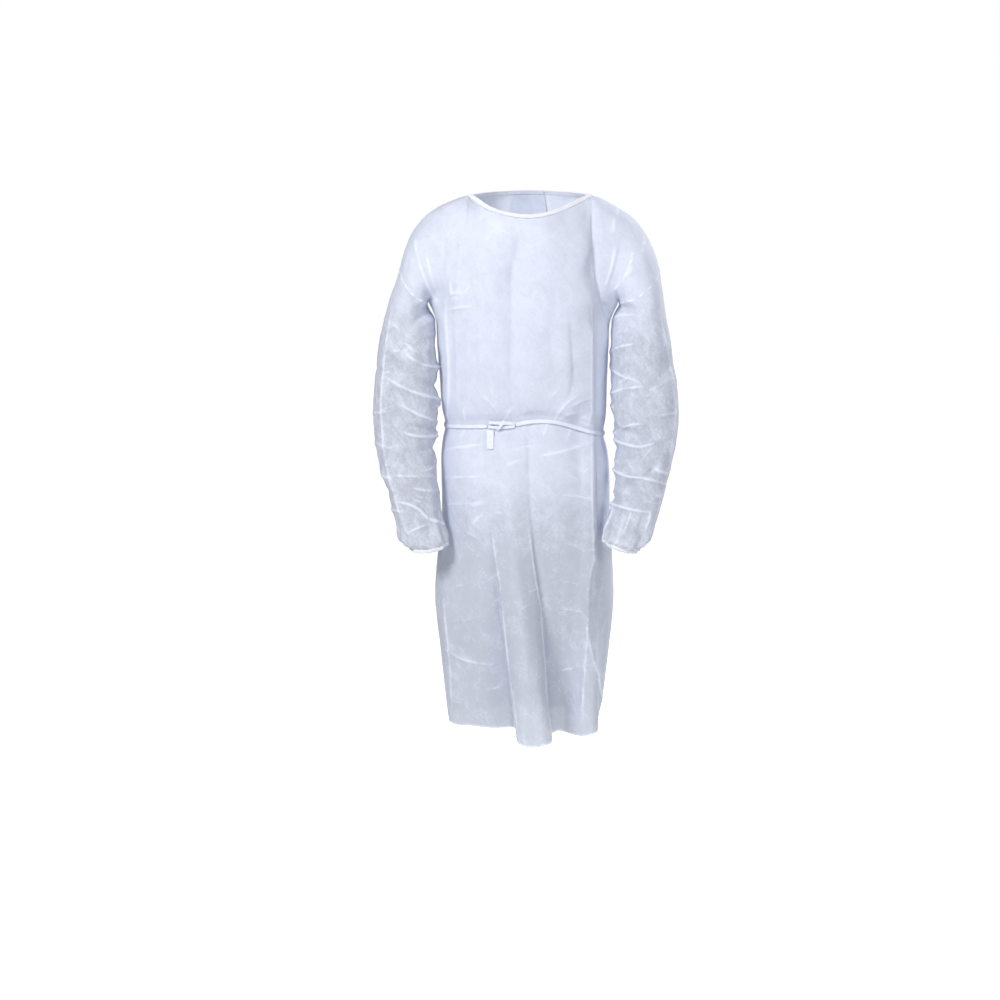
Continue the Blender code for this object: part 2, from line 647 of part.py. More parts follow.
def add_sleeve(cloth, front, side, body):
    """A sleeve's grid: its first ring holds the armhole's points and one between each two of them."""
    back = cloth.panels["back_panel_" + side][0]
    edge = 0 if side == "left" else -1
    loop = [front[r][edge] for r in range(body - 1, len(front))]
    loop += [back[r][0] for r in range(len(back) - 2, body - 1, -1)]
    ring = []
    for here, following in zip(loop, loop[1:] + loop[:1]):
        ring += [here, cloth.add((cloth.points[here] + cloth.points[following]) / 2)]
    grid = [ring]
    last = int(SLEEVES[side].values[-1, 0])
    for step in range(1, last + 1):
        grid.append([cloth.add(p) for p in sleeve_ring(side, step, SLEEVE_COLUMNS)])
    cloth.panels["sleeve_" + side] = (grid, side == "right", True)
    end = sleeve_ring(side, last, SLEEVE_COLUMNS)
    before = sleeve_ring(side, last - 0.5, SLEEVE_COLUMNS)
    lower = []
    for i, point in enumerate(end):
        down = point - before[i]
        down = np.array([0, 0, -1.0]) + 0.1 * down / np.linalg.norm(down)
        lower.append(cloth.add(point + ELASTIC_WIDTH * down / np.linalg.norm(down)))
    cloth.panels["cuff_elastic_" + side] = ([grid[-1], lower], side == "right", True)


def add_binding(cloth, front, neck_first, neck_last):
    """The neck binding's grid, from the left back's edge round the front to the right back's."""
    left, right = (cloth.panels["back_panel_" + side][0][-1] for side in ("left", "right"))
    seam = left[:neck_first:-1] + front[-1][neck_first : neck_last + 1] + right[RIGHT_COLUMNS + 1 :]
    edge = []
    for i in seam:
        point = cloth.points[i]
        inward = np.array([*NECK_CENTRE, 0]) - point * np.array([1, 1, 0])
        inward /= np.linalg.norm(inward)
        at_shoulder = math.exp(-((point[1] / 0.02) ** 2))
        rise = NECK_SLOPE["round"] + (NECK_SLOPE["shoulder"] - NECK_SLOPE["round"]) * at_shoulder
        edge.append(cloth.add(point + BINDING_WIDTH * (inward * math.sqrt(1 - rise**2) + (0, 0, rise))))
    cloth.panels["neck_binding"] = ([seam, edge], False, False)


def crease_height(table, point):
    """How far the named creases push a point out, seen in the X-Z view."""
    height = 0.0
    here = np.array([point[0], point[2]])
    for x0, z0, x1, z1, half, out in table.values:
        start, line = np.array([x0, z0]), np.array([x1 - x0, z1 - z0])
        share = float(np.clip(np.dot(here - start, line) / np.dot(line, line), 0, 1))
        away = float(np.linalg.norm(here - start - share * line))
        height += out * math.exp(-((away / half) ** 2))
    return height


def crease(cloth):
    """Pushes the surface out or in along the creases of each face, the seams' points once."""
    normals = cloth.normals()
    moved = {}
    for name, (grid, _, _) in cloth.panels.items():
        face = "back" if name.startswith("back") else "front" if name == "front_panel" else name
        if face not in CREASES:
            continue
        for row in grid:
            for i in row:
                facing = abs(normals[i][1])
                share = ramp(0.1, 0.5, facing)
                moved.setdefault(i, share * crease_height(CREASES[face], cloth.points[i]))
    for i, height in moved.items():
        cloth.points[i] = cloth.points[i] + normals[i] * height
    for side in ("left", "right"):
        ring = cloth.panels["sleeve_" + side][0][0]
        for i in range(1, len(ring), 2):
            before, after = ring[i - 1], ring[(i + 1) % len(ring)]
            cloth.points[ring[i]] = (cloth.points[before] + cloth.points[after]) / 2


def seam_normals(cloth):
    """Normals of the middle surface; points between two seam points take the mean of theirs."""
    normals = cloth.normals()
    for side in ("left", "right"):
        ring = cloth.panels["sleeve_" + side][0][0]
        for i in range(1, len(ring), 2):
            mean = normals[ring[i - 1]] + normals[ring[(i + 1) % len(ring)]]
            normals[ring[i]] = mean / np.linalg.norm(mean)
    return normals


def edge_gap(point, gap):
    """How far an edge draws back from its seam: more in the armpits, where three walls meet at a point."""
    ease = 0.0
    for side in ("left", "right"):
        start = SLEEVES[side].values[0]
        away = math.dist(point, (start[3], start[5], start[4]))
        ease += ARMPIT_EASE * math.exp(-((away / ARMPIT_REACH) ** 2))
    return gap + ease


def inset_edges(places, faces, gap):
    """Draws a panel's edges back from their seams, within its own surface."""
    uses = {}
    for face in faces:
        for a, b in zip(face, face[1:] + face[:1]):
            uses.setdefault(frozenset((a, b)), []).append((a, b, face))
    shift = {}
    for edges in uses.values():
        if len(edges) > 1:
            continue
        a, b, face = edges[0]
        along_it = places[b] - places[a]
        normal = np.cross(places[face[2]] - places[face[0]], places[face[3]] - places[face[1]])
        inward = np.cross(normal, along_it)
        length = np.linalg.norm(inward)
        if length < 1e-15:
            continue
        for corner in (a, b):
            shift.setdefault(corner, []).append(inward / length)
    moved = dict(places)
    for corner, inwards in shift.items():
        total = np.sum(inwards, axis=0)
        total /= np.linalg.norm(total)
        reach = edge_gap(places[corner], gap) / max(0.35, min(float(np.dot(total, way)) for way in inwards))
        moved[corner] = places[corner] + total * reach
    return moved


def wall(name, cloth, normals, thickness, gap):
    """A panel's solid: an outer and an inner skin and the rim between them."""
    grid, flip, closed = cloth.panels[name]
    faces = quads(grid, flip, closed)
    numbers = sorted({i for face in faces for i in face})
    places = inset_edges({i: cloth.points[i] for i in numbers}, faces, gap)
    index = {number: i for i, number in enumerate(numbers)}
    count = len(numbers)
    outer = [places[i] + normals[i] * thickness / 2 for i in numbers]
    inner = [places[i] - normals[i] * thickness / 2 for i in numbers]
    triangles = []
    edges = {}
    for a, b, c, d in faces:
        if np.linalg.norm(places[a] - places[c]) > np.linalg.norm(places[b] - places[d]):
            a, b, c, d = b, c, d, a
        a, b, c, d = (index[i] for i in (a, b, c, d))
        for p, q, r in ((a, b, c), (a, c, d)):
            triangles += [(p, q, r), (p + count, r + count, q + count)]
        for p, q in ((a, b), (b, c), (c, d), (d, a)):
            edges[(p, q)] = edges.get((p, q), 0) + 1
    for p, q in edges:
        if (q, p) not in edges:
            triangles += [(q, p, p + count), (q, p + count, q + count)]
    return solid(name, outer + inner, triangles)


def finish(piece, slot):
    """Gives a piece its own material, with the slot's colour and roughness."""
    material = bpy.data.materials.new(piece.name)
    material.use_nodes = True
    shader = material.node_tree.nodes["Principled BSDF"]
    colour, roughness = FINISHES[slot]
    shader.inputs["Base Color"].default_value = (*colour, 1.0)
    shader.inputs["Roughness"].default_value = roughness
    shader.inputs["Metallic"].default_value = 0.0
    material.diffuse_color = (*colour, 1.0)
    piece.data.materials.clear()
    piece.data.materials.append(material)


def solid(name, points, faces):
    """A mesh object of its own from points and faces."""
    mesh = bpy.data.meshes.new(name)
    mesh.from_pydata([tuple(map(float, p)) for p in points], [], faces)
    mesh.validate()
    work = bmesh.new()
    work.from_mesh(mesh)
    bmesh.ops.recalc_face_normals(work, faces=work.faces)
    if work.calc_volume(signed=True) < 0:
        bmesh.ops.reverse_faces(work, faces=work.faces)
    work.to_mesh(mesh)
    work.free()
    piece = bpy.data.objects.new(name, mesh)
    bpy.data.collections[COLLECTION].objects.link(piece)
    return piece


def hull_around(points):
    """The convex outline of plan points, in order."""
    ordered = sorted(map(tuple, points))
    halves = []
    for run in (ordered, ordered[::-1]):
        line = []
        for p in run:
            while len(line) > 1:
                (ax, ay), (bx, by) = line[-2], line[-1]
                if (bx - ax) * (p[1] - ay) - (by - ay) * (p[0] - ax) > 0:
                    break
                line.pop()
            line.append(p)
        halves.append(line[:-1])
    return np.array(halves[0] + halves[1])


def belt_path(cloth, stand_off):
    """Points round the waist from the knot rightwards and back to it, a stand-off outside the cloth's outline."""
    near = []
    for name in ("front_panel", "back_panel_left", "back_panel_right"):
        grid = cloth.panels[name][0]
        near += [cloth.points[i][:2] for row in grid[BELT_ROW : BELT_ROW + 2] for i in row]
    outline = list(hull_around(near))
    stops = []
    for p, q in zip(outline, outline[1:] + outline[:1]):
        parts = max(1, int(np.linalg.norm(q - p) / TAPE_STEP))
        stops += [p + (q - p) * k / parts for k in range(parts)]
    thinned = [stops[0]]
    for p in stops[1:]:
        if np.linalg.norm(p - thinned[-1]) > TAPE_STEP / 4:
            thinned.append(p)
    moved = []
    count = len(thinned)
    for i, p in enumerate(thinned):
        before, after = p - thinned[i - 1], thinned[(i + 1) % count] - p
        sides = [np.array([d[1], -d[0]]) / np.linalg.norm(d) for d in (before, after)]
        way = (sides[0] + sides[1]) / np.linalg.norm(sides[0] + sides[1])
        moved.append(p + way * stand_off / float(np.dot(way, sides[0])))
    behind = max(range(count), key=lambda i: moved[i][1])
    moved = moved[behind:] + moved[:behind]
    ahead = [i for i in range(count) if moved[i][1] < 0]
    right, left = KNOT_X[1] + TAPE_GAP, KNOT_X[0] - TAPE_GAP
    xs, ys = [moved[i][0] for i in ahead], [moved[i][1] for i in ahead]
    ends = {x: np.array([x, np.interp(x, xs, ys)]) for x in (right, left)}
    first = min(i for i in ahead if moved[i][0] > right + TAPE_STEP / 3)
    last = max(i for i in ahead if moved[i][0] < left - TAPE_STEP / 3)
    path = [ends[right]] + moved[first:] + moved[: last + 1] + [ends[left]]
    return [np.array([x, y, belt_height(x, y)]) for x, y in path]


def depth_at(cloth, name, x, z):
    """How deep a panel's middle surface lies at a place seen from the front or the back."""
    heights, depths = [], []
    for row in cloth.panels[name][0]:
        points = sorted((tuple(cloth.points[i]) for i in row), key=lambda p: p[0])
        xs, ys, zs = zip(*points)
        heights.append(float(np.interp(x, xs, zs)))
        depths.append(float(np.interp(x, xs, ys)))
    return float(np.interp(z, heights, depths))


def tape(name, path, outwards, width, thickness):
    """A flat tape along a path, its width across both the path and the outward direction."""
    points, faces = [], []
    count = len(path)
    for i, point in enumerate(path):
        along_it = path[min(i + 1, count - 1)] - path[max(i - 1, 0)]
        along_it = along_it / np.linalg.norm(along_it)
        outward = outwards[i] - along_it * np.dot(outwards[i], along_it)
        outward = outward / np.linalg.norm(outward)
        up = np.cross(outward, along_it)
        for a, b in ((-1, -1), (1, -1), (1, 1), (-1, 1)):
            points.append(point + up * a * width / 2 + outward * b * thickness / 2)
    for i in range(count - 1):
        for k in range(4):
            a, b = 4 * i + k, 4 * i + (k + 1) % 4
            faces += [(a, b, b + 4), (a, b + 4, a + 4)]
    last = 4 * (count - 1)
    faces += [(0, 2, 1), (0, 3, 2), (last, last + 1, last + 2), (last, last + 2, last + 3)]
    return solid(name, points, faces)


def round_outwards(path):
    """The directions away from the body at the points of a path round the waist."""
    outwards = []
    for i, point in enumerate(path):
        along_it = path[min(i + 1, len(path) - 1)] - path[max(i - 1, 0)]
        outward = np.array([along_it[1], -along_it[0], 0.0])
        outwards.append(outward / np.linalg.norm(outward))
    return outwards


def waist_tape(cloth):
    """The tape round the waist, from one side of the knot to the other."""
    path = belt_path(cloth, CLOTH / 2 + TAPE_GAP + TAPE_THICKNESS / 2)
    return tape("waist_tape", path, round_outwards(path), TAPE_WIDTH, TAPE_THICKNESS)


def waist_knot(cloth):
    """The knot: one strand over another, and a turn of the tape round both."""
    strands = []
    for name, table in WAIST_KNOT.items():
        path = []
        for step in np.linspace(0, table.values[-1, 0], 11):
            x, z, off = (table.read(n, step) for n in ("x", "z", "off"))
            surface = depth_at(cloth, "front_panel", x, BELT_Z) - CLOTH / 2
            path.append(np.array([x, surface - off, z]))
        outwards = [np.array([0.0, -1.0, 0.0])] * len(path)
        strands.append(tape("waist_knot_" + name, path, outwards, STRAND_WIDTH, STRAND_THICKNESS))
    return joined("waist_knot", strands)


def waist_tail(cloth):
    """The free end of the tape, hanging flat below the knot."""
    path = []
    for z in np.linspace(TAIL["top"], TAIL["end"], 7):
        sides = (TAIL["x"] - TAIL["width"] / 2, TAIL["x"] + TAIL["width"] / 2)
        depth = min(depth_at(cloth, "front_panel", x, z) for x in sides)
        path.append(np.array([TAIL["x"], depth - CLOTH / 2 - TAPE_CLEARANCE - TAPE_THICKNESS / 2, z]))
    outwards = [np.array([0.0, -1.0, 0.0])] * len(path)
    return tape("waist_tape_tail", path, outwards, TAIL["width"], TAPE_THICKNESS)


def neck_tie(cloth):
    """The knot of the binding's ends at the nape, with its two short tails."""
    knot = NECK_KNOT
    low = knot["z"] - knot["height"] / 2
    levels = np.linspace(low, knot["z"] + knot["height"] / 2, 5)
    depth = max(depth_at(cloth, n, knot["x"], low) for n in ("back_panel_left", "back_panel_right"))
    pieces = []
    path = [np.array([knot["x"], depth + knot["off"], z]) for z in levels]
    outwards = [np.array([0.0, 1.0, 0.0])] * len(path)
    pieces.append(tape("neck_knot", path, outwards, knot["width"], knot["depth"]))
    for x0, x1, length in NECK_TAILS.values:
        path = []
        for share in np.linspace(0, 1, 7):
            x, z = x0 + (x1 - x0) * share, low + NECK_TAIL_TOP - length * share
            off = knot["off"] + (2 * CLOTH - knot["off"]) * ramp(0, 0.4, share)
            sides = (x - NECK_TAIL_WIDTH * 0.6, x, x + NECK_TAIL_WIDTH * 0.6)
            names = ("back_panel_left", "back_panel_right")
            surface = max(depth_at(cloth, n, place, z) for n in names for place in sides)
            path.append(np.array([x, surface + off, z]))
        outwards = [np.array([0.0, 1.0, 0.0])] * len(path)
        pieces.append(tape("neck_tail", path, outwards, NECK_TAIL_WIDTH, TAPE_THICKNESS))
    return joined("neck_tie", pieces)


def joined(name, pieces):
    """One body from pieces that pass through each other."""
    main = pieces[0]
    for piece in pieces[1:]:
        cut = main.modifiers.new("join", "BOOLEAN")
        cut.operation, cut.solver, cut.object = "UNION", "EXACT", piece
        graph = bpy.context.evaluated_depsgraph_get()
        mesh = bpy.data.meshes.new_from_object(main.evaluated_get(graph))
        main.modifiers.clear()
        main.data = mesh
    for piece in pieces[1:]:
        bpy.data.objects.remove(piece)
    main.name = name
    main.data.name = name
    return main


def main():
    for piece in list(bpy.data.objects):
        bpy.data.objects.remove(piece)
    collection = bpy.data.collections.new(COLLECTION)
    bpy.context.scene.collection.children.link(collection)
    cloth = build_cloth()
    crease(cloth)
    normals = seam_normals(cloth)
    bands = {"neck_binding": BINDING, "cuff_elastic_left": ELASTIC, "cuff_elastic_right": ELASTIC}
    for name in cloth.panels:
        gap = BAND_GAP - SEAM_GAP / 2 if name in bands else SEAM_GAP / 2
        piece = wall(name, cloth, normals, bands.get(name, CLOTH), gap)
        finish(piece, "binding" if name == "neck_binding" else "elastic" if name in bands else "nonwoven")
    for piece in (waist_tape(cloth), waist_knot(cloth), waist_tail(cloth)):
        finish(piece, "tape")
    finish(neck_tie(cloth), "binding")


main()
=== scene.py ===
"""Isolation gown as worn, dressed: thin nonwoven shells with their folds, creases, welded seams and gathers.

Metres, Z up. X runs to the image right and the front faces -Y. The form's tables and functions are the same
as those of the solids, and the shells follow them on a finer grid.
"""

import math

import bmesh
import bpy
import numpy as np
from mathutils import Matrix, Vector
from mathutils.kdtree import KDTree


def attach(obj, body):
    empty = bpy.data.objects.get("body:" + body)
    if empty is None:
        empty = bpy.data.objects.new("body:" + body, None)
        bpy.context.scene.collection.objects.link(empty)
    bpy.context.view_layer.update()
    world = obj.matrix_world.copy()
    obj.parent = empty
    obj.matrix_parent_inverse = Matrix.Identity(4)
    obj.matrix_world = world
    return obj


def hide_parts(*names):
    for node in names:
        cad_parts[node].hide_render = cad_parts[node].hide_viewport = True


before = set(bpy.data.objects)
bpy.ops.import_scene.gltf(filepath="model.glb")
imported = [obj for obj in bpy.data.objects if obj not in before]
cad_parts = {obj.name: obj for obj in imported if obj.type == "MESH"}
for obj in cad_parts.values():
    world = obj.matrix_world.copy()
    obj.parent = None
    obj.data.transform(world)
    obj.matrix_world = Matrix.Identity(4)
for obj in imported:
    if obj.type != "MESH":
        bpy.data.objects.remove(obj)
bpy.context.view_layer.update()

# Widths
BINDING_WIDTH = 0.010
ELASTIC_WIDTH = 0.008

# Levels
BELT_Z = -0.452
HEM_Z = -1.067

# Grid of the cloth
CAP_ROWS = 8
SLEEVE_COLUMNS = 4 * CAP_ROWS

# Neck and shoulders
NECK_CENTRE = (0.009, -0.004)
NECK_SLOPE = {"round": 0.75, "shoulder": 0.30}  # rise of the bound edge for each metre of its width
BACK_NECK = 0.30
SHOULDER_BACK = 0.012  # the shoulder seam runs this far back from the neck to the sleeve
ROLL = {"shoulder": 90, "front_neck": 58, "back_neck": 62}  # how far the cloth rolls over at the top, degrees


class Table:
    """Rows of sizes under named columns, read smoothly along the first column."""

    def __init__(self, names, *rows):
        self.names = names.split()
        self.values = np.array(rows, float)

    def column(self, name):
        return self.values[:, self.names.index(name)]

    def read(self, name, key):
        return smooth(self.values[:, 0], self.column(name), key)


def smooth(keys, values, key):
    """A smooth curve through the values, level beyond the first and the last."""
    slopes = np.gradient(values, keys)
    i = int(np.clip(np.searchsorted(keys, key) - 1, 0, len(keys) - 2))
    step = keys[i + 1] - keys[i]
    t = min(max((key - keys[i]) / step, 0.0), 1.0)
    rise = values[i] * (1 + 2 * t) * (1 - t) ** 2 + values[i + 1] * t * t * (3 - 2 * t)
    return rise + step * (slopes[i] * t * (1 - t) ** 2 + slopes[i + 1] * t * t * (t - 1))


def ramp(start, end, value):
    """0 at the start, 1 at the end, with soft ends."""
    t = min(max((value - start) / (end - start), 0.0), 1.0)
    return t * t * (3 - 2 * t)


def running(steps):
    """Distances along a line from the lengths of its steps, starting with 0."""
    return np.concatenate([[0.0], np.cumsum(steps)])


# The body's cross-sections below the arms: half widths, front and back depth, the depth of the widest line,
# and how square the section is (2 is an ellipse).
SECTIONS = Table(
    "z left right front back side square",
    (-1.067, 0.155, 0.151, 0.078, 0.140, 0.020, 2.5),
    (-1.000, 0.163, 0.162, 0.092, 0.143, 0.020, 2.5),
    (-0.900, 0.173, 0.174, 0.108, 0.149, 0.020, 2.4),
    (-0.814, 0.182, 0.181, 0.122, 0.151, 0.018, 2.4),
    (-0.720, 0.176, 0.177, 0.132, 0.150, 0.015, 2.4),
    (-0.640, 0.167, 0.171, 0.138, 0.146, 0.012, 2.4),
    (-0.580, 0.167, 0.171, 0.139, 0.136, 0.012, 2.4),
    (-0.520, 0.168, 0.168, 0.134, 0.124, 0.012, 2.4),
    (-0.480, 0.164, 0.163, 0.120, 0.110, 0.012, 2.4),
    (-0.459, 0.160, 0.158, 0.109, 0.099, 0.012, 2.4),
    (-0.445, 0.160, 0.158, 0.109, 0.099, 0.012, 2.4),
    (-0.426, 0.165, 0.162, 0.119, 0.105, 0.020, 2.4),
    (-0.370, 0.170, 0.165, 0.127, 0.108, 0.028, 2.4),
    (-0.300, 0.175, 0.167, 0.130, 0.113, 0.030, 2.4),
    (-0.250, 0.176, 0.168, 0.128, 0.113, 0.026, 2.4),
    (-0.230, 0.179, 0.172, 0.126, 0.112, 0.018, 2.4),
    (-0.213, 0.189, 0.182, 0.124, 0.112, 0.012, 2.4),
)

# The rows of the body grid, from the hem up to the armpits.
BODY_ROWS = (
    -1.067, -1.030, -0.990, -0.950, -0.905, -0.860, -0.820, -0.785, -0.760, -0.740, -0.720, -0.695,
    -0.655, -0.605, -0.555, -0.512, -0.480, -0.459, -0.445, -0.426, -0.400, -0.368, -0.330, -0.305,
    -0.285, -0.268, -0.250, -0.230, -0.213,
)

# The height of the waist tape in front, by X; it rises over the middle and drops to the right side.
BELT_LINE = Table(
    "x z",
    (-0.164, -0.4575),
    (-0.075, -0.4530),
    (-0.030, -0.4520),
    (0.000, -0.4445),
    (0.050, -0.4433),
    (0.120, -0.4630),
    (0.160, -0.4740),
)
BELT_REACH = 0.055  # how far above and below the tape the cloth's rows follow its slope

# The neck edge, from one neck point round the front to the other, and the same round the back.
NECK_FRONT = Table(
    "step x y z",
    (0.0, -0.105, 0.000, -0.002),
    (1.0, -0.058, -0.069, -0.034),
    (2.0, 0.000, -0.085, -0.045),
    (3.0, 0.053, -0.070, -0.036),
    (4.0, 0.124, 0.000, -0.002),
)
NECK_BACK = Table(
    "step x y z",
    (0.0, -0.105, 0.000, -0.002),
    (1.0, -0.064, 0.050, 0.006),
    (2.0, 0.009, 0.070, 0.010),
    (3.0, 0.082, 0.050, 0.006),
    (4.0, 0.124, 0.000, -0.002),
)

# The shoulder line from the binding out to the sleeve seam.
SHOULDERS = {
    "left": Table(
        "step x z",
        (0.0, -0.114, -0.003),
        (1.0, -0.154, -0.016),
        (2.0, -0.184, -0.032),
        (3.0, -0.208, -0.049),
        (4.0, -0.224, -0.076),
        (5.0, -0.240, -0.112),
        (6.0, -0.250, -0.148),
    ),
    "right": Table(
        "step x z",
        (0.0, 0.133, -0.004),
        (1.0, 0.164, -0.016),
        (2.0, 0.196, -0.033),
        (3.0, 0.224, -0.056),
        (4.0, 0.246, -0.092),
        (5.0, 0.262, -0.124),
        (6.0, 0.268, -0.150),
    ),
}

# The sleeves, ring by ring: outer and inner edge, the ring's centre in depth, its half depth, how far its
# front dips, and how far each gather stands out.
SLEEVES = {
    "left": Table(
        "step outer_x outer_z inner_x inner_z centre depth dip gather",
        (0.0, -0.250, -0.148, -0.189, -0.213, 0.012, 0.084, 0.018, 0.0),
        (1.0, -0.263, -0.188, -0.200, -0.2195, 0.008, 0.084, 0.014, 0.0),
        (2.0, -0.276, -0.232, -0.189, -0.238, 0.000, 0.081, 0.008, 0.0),
        (3.0, -0.287, -0.280, -0.1785, -0.272, -0.012, 0.077, 0.004, 0.0),
        (4.0, -0.294, -0.328, -0.1765, -0.322, -0.020, 0.073, 0.0, 0.0),
        (5.0, -0.299, -0.378, -0.1745, -0.375, -0.026, 0.070, 0.0, 0.0),
        (6.0, -0.301, -0.428, -0.1735, -0.428, -0.032, 0.067, 0.0, 0.0),
        (7.0, -0.299, -0.476, -0.177, -0.474, -0.042, 0.062, 0.0, 0.0),
        (8.0, -0.290, -0.522, -0.177, -0.518, -0.052, 0.058, 0.003, 0.0),
        (9.0, -0.277, -0.566, -0.174, -0.560, -0.064, 0.053, 0.006, 0.0006),
        (10.0, -0.264, -0.608, -0.169, -0.602, -0.077, 0.049, 0.008, 0.0012),
        (11.0, -0.253, -0.646, -0.163, -0.640, -0.089, 0.046, 0.010, 0.0022),
        (12.0, -0.244, -0.678, -0.154, -0.668, -0.098, 0.043, 0.010, 0.0032),
        (13.0, -0.226, -0.688, -0.153, -0.678, -0.102, 0.031, 0.008, 0.0022),
    ),
    "right": Table(
        "step outer_x outer_z inner_x inner_z centre depth dip gather",
        (0.0, 0.268, -0.150, 0.182, -0.213, 0.012, 0.084, 0.018, 0.0),
        (1.0, 0.274, -0.192, 0.193, -0.2195, 0.008, 0.084, 0.014, 0.0),
        (2.0, 0.280, -0.238, 0.182, -0.239, 0.000, 0.081, 0.008, 0.0),
        (3.0, 0.288, -0.284, 0.1705, -0.274, -0.012, 0.077, 0.004, 0.0),
        (4.0, 0.295, -0.330, 0.1685, -0.324, -0.020, 0.073, 0.0, 0.0),
        (5.0, 0.301, -0.378, 0.1685, -0.376, -0.026, 0.070, 0.0, 0.0),
        (6.0, 0.302, -0.428, 0.1705, -0.428, -0.032, 0.067, 0.0, 0.0),
        (7.0, 0.299, -0.476, 0.177, -0.474, -0.042, 0.062, 0.0, 0.0),
        (8.0, 0.290, -0.522, 0.178, -0.518, -0.052, 0.058, 0.003, 0.0),
        (9.0, 0.278, -0.566, 0.176, -0.560, -0.064, 0.053, 0.006, 0.0006),
        (10.0, 0.268, -0.608, 0.173, -0.602, -0.077, 0.049, 0.008, 0.0012),
        (11.0, 0.256, -0.646, 0.161, -0.640, -0.089, 0.046, 0.010, 0.0022),
        (12.0, 0.240, -0.682, 0.156, -0.664, -0.098, 0.043, 0.010, 0.0032),
        (13.0, 0.224, -0.690, 0.152, -0.672, -0.102, 0.031, 0.008, 0.0022),
    ),
}
SLEEVE_SQUARE = 2.25
GATHERS = SLEEVE_COLUMNS // 4

# The large fold down the middle of the skirt: it starts at the waist, drifts right and stands out like a box.
MIDDLE_FOLD = Table(
    "z x half rise box",
    (-1.067, 0.014, 0.034, 0.122, 1.0),
    (-1.000, 0.008, 0.034, 0.100, 0.9),
    (-0.900, 0.000, 0.036, 0.074, 0.7),
    (-0.814, -0.009, 0.038, 0.050, 0.5),
    (-0.720, -0.019, 0.041, 0.030, 0.3),
    (-0.640, -0.028, 0.044, 0.017, 0.1),
    (-0.560, -0.037, 0.048, 0.008, 0.0),
    (-0.470, -0.045, 0.052, 0.001, 0.0),
    (-0.213, -0.040, 0.056, 0.0, 0.0),
)
MIDDLE_STEPS = (-1.3, -1.0, -0.84, -0.55, 0.0, 0.55, 0.84, 1.0, 1.3)
MIDDLE_LOOSE = (-1.3, -0.95, -0.63, -0.32, 0.0, 0.32, 0.63, 0.95, 1.3)
LOOSE_LEVELS = (-0.70, -0.45)  # the steps change from those of the box to the loose ones between these
BOX_SIDE = 0.76  # the share of the half width at which the box's flat top ends
FOLD_ROOM = 0.012  # kept between the columns of the chest panel and the fold

# The pleat at the right of the front: a knife edge with the cloth doubled under it. Each step gives the place
# along the cloth folded and unfolded, and how far it stands out, against the edge.
PLEAT_EDGE = Table(
    "z x",
    (-1.067, 0.114),
    (-0.860, 0.124),
    (-0.720, 0.134),
    (-0.452, 0.131),
    (-0.300, 0.128),
    (-0.213, 0.124),
)
PLEAT = Table(
    "step folded unfolded out_folded out_unfolded",
    (0.0, -0.034, -0.034, 0.0000, 0.0000),
    (1.0, -0.021, -0.023, 0.0055, 0.0045),
    (2.0, -0.011, -0.015, 0.0088, 0.0080),
    (3.0, -0.002, -0.009, 0.0092, 0.0092),
    (4.0, 0.000, -0.0045, 0.0072, 0.0082),
    (5.0, -0.003, -0.0022, 0.0052, 0.0060),
    (6.0, -0.013, 0.0055, 0.0042, 0.0034),
    (7.0, -0.015, 0.0075, 0.0020, 0.0012),
    (8.0, -0.010, 0.0125, -0.0004, 0.0002),
    (9.0, 0.004, 0.0190, -0.0006, 0.0000),
    (10.0, 0.024, 0.0260, 0.0000, 0.0000),
)
PLEAT_TOP = (-0.212, -0.335)
PLEAT_END = (-0.860, -0.690)
PLEAT_WAVE = {"start": -0.760, "rise": 0.046, "half": 0.040}

# The left edge of the chest panel's soft strip, which the left columns follow down to the hem.
LEFT_STRIP = Table("z x", (-1.067, -0.130), (-0.814, -0.150), (-0.452, -0.136), (-0.213, -0.140))
LEFT_NECK_X = -0.104
LEFT_SHARES = (0.0, 0.36, 0.72, 1.0)  # the columns from the left side seam to the strip
STRIP_SHARES = (0.5, 1.0)
LEFT_COLUMNS = len(LEFT_SHARES) + len(STRIP_SHARES)
RIGHT_SHARES = (0.21, 0.42, 0.63, 1.0)  # the columns from the pleat to the right side seam
RIGHT_COLUMNS = len(RIGHT_SHARES)
BETWEEN_COLUMNS = 3
BACK_NECK_COLUMNS = 6

# The backs overlap at the middle: how far each edge passes it, and how far the upper one stands off.
BACK_OVERLAP = Table("z past", (-1.067, 0.080), (-0.452, 0.075), (-0.213, 0.060), (0.010, 0.030))
OVERLAP_LIFT = 0.0055
OVERLAP_FADE = 0.05  # how far from the overlap the cloth comes back to its section
OVERLAP_TOP = (0.55, 0.85)  # the same along the neck, in shares of the way to the edge
BACK_NECK_Z = 0.010

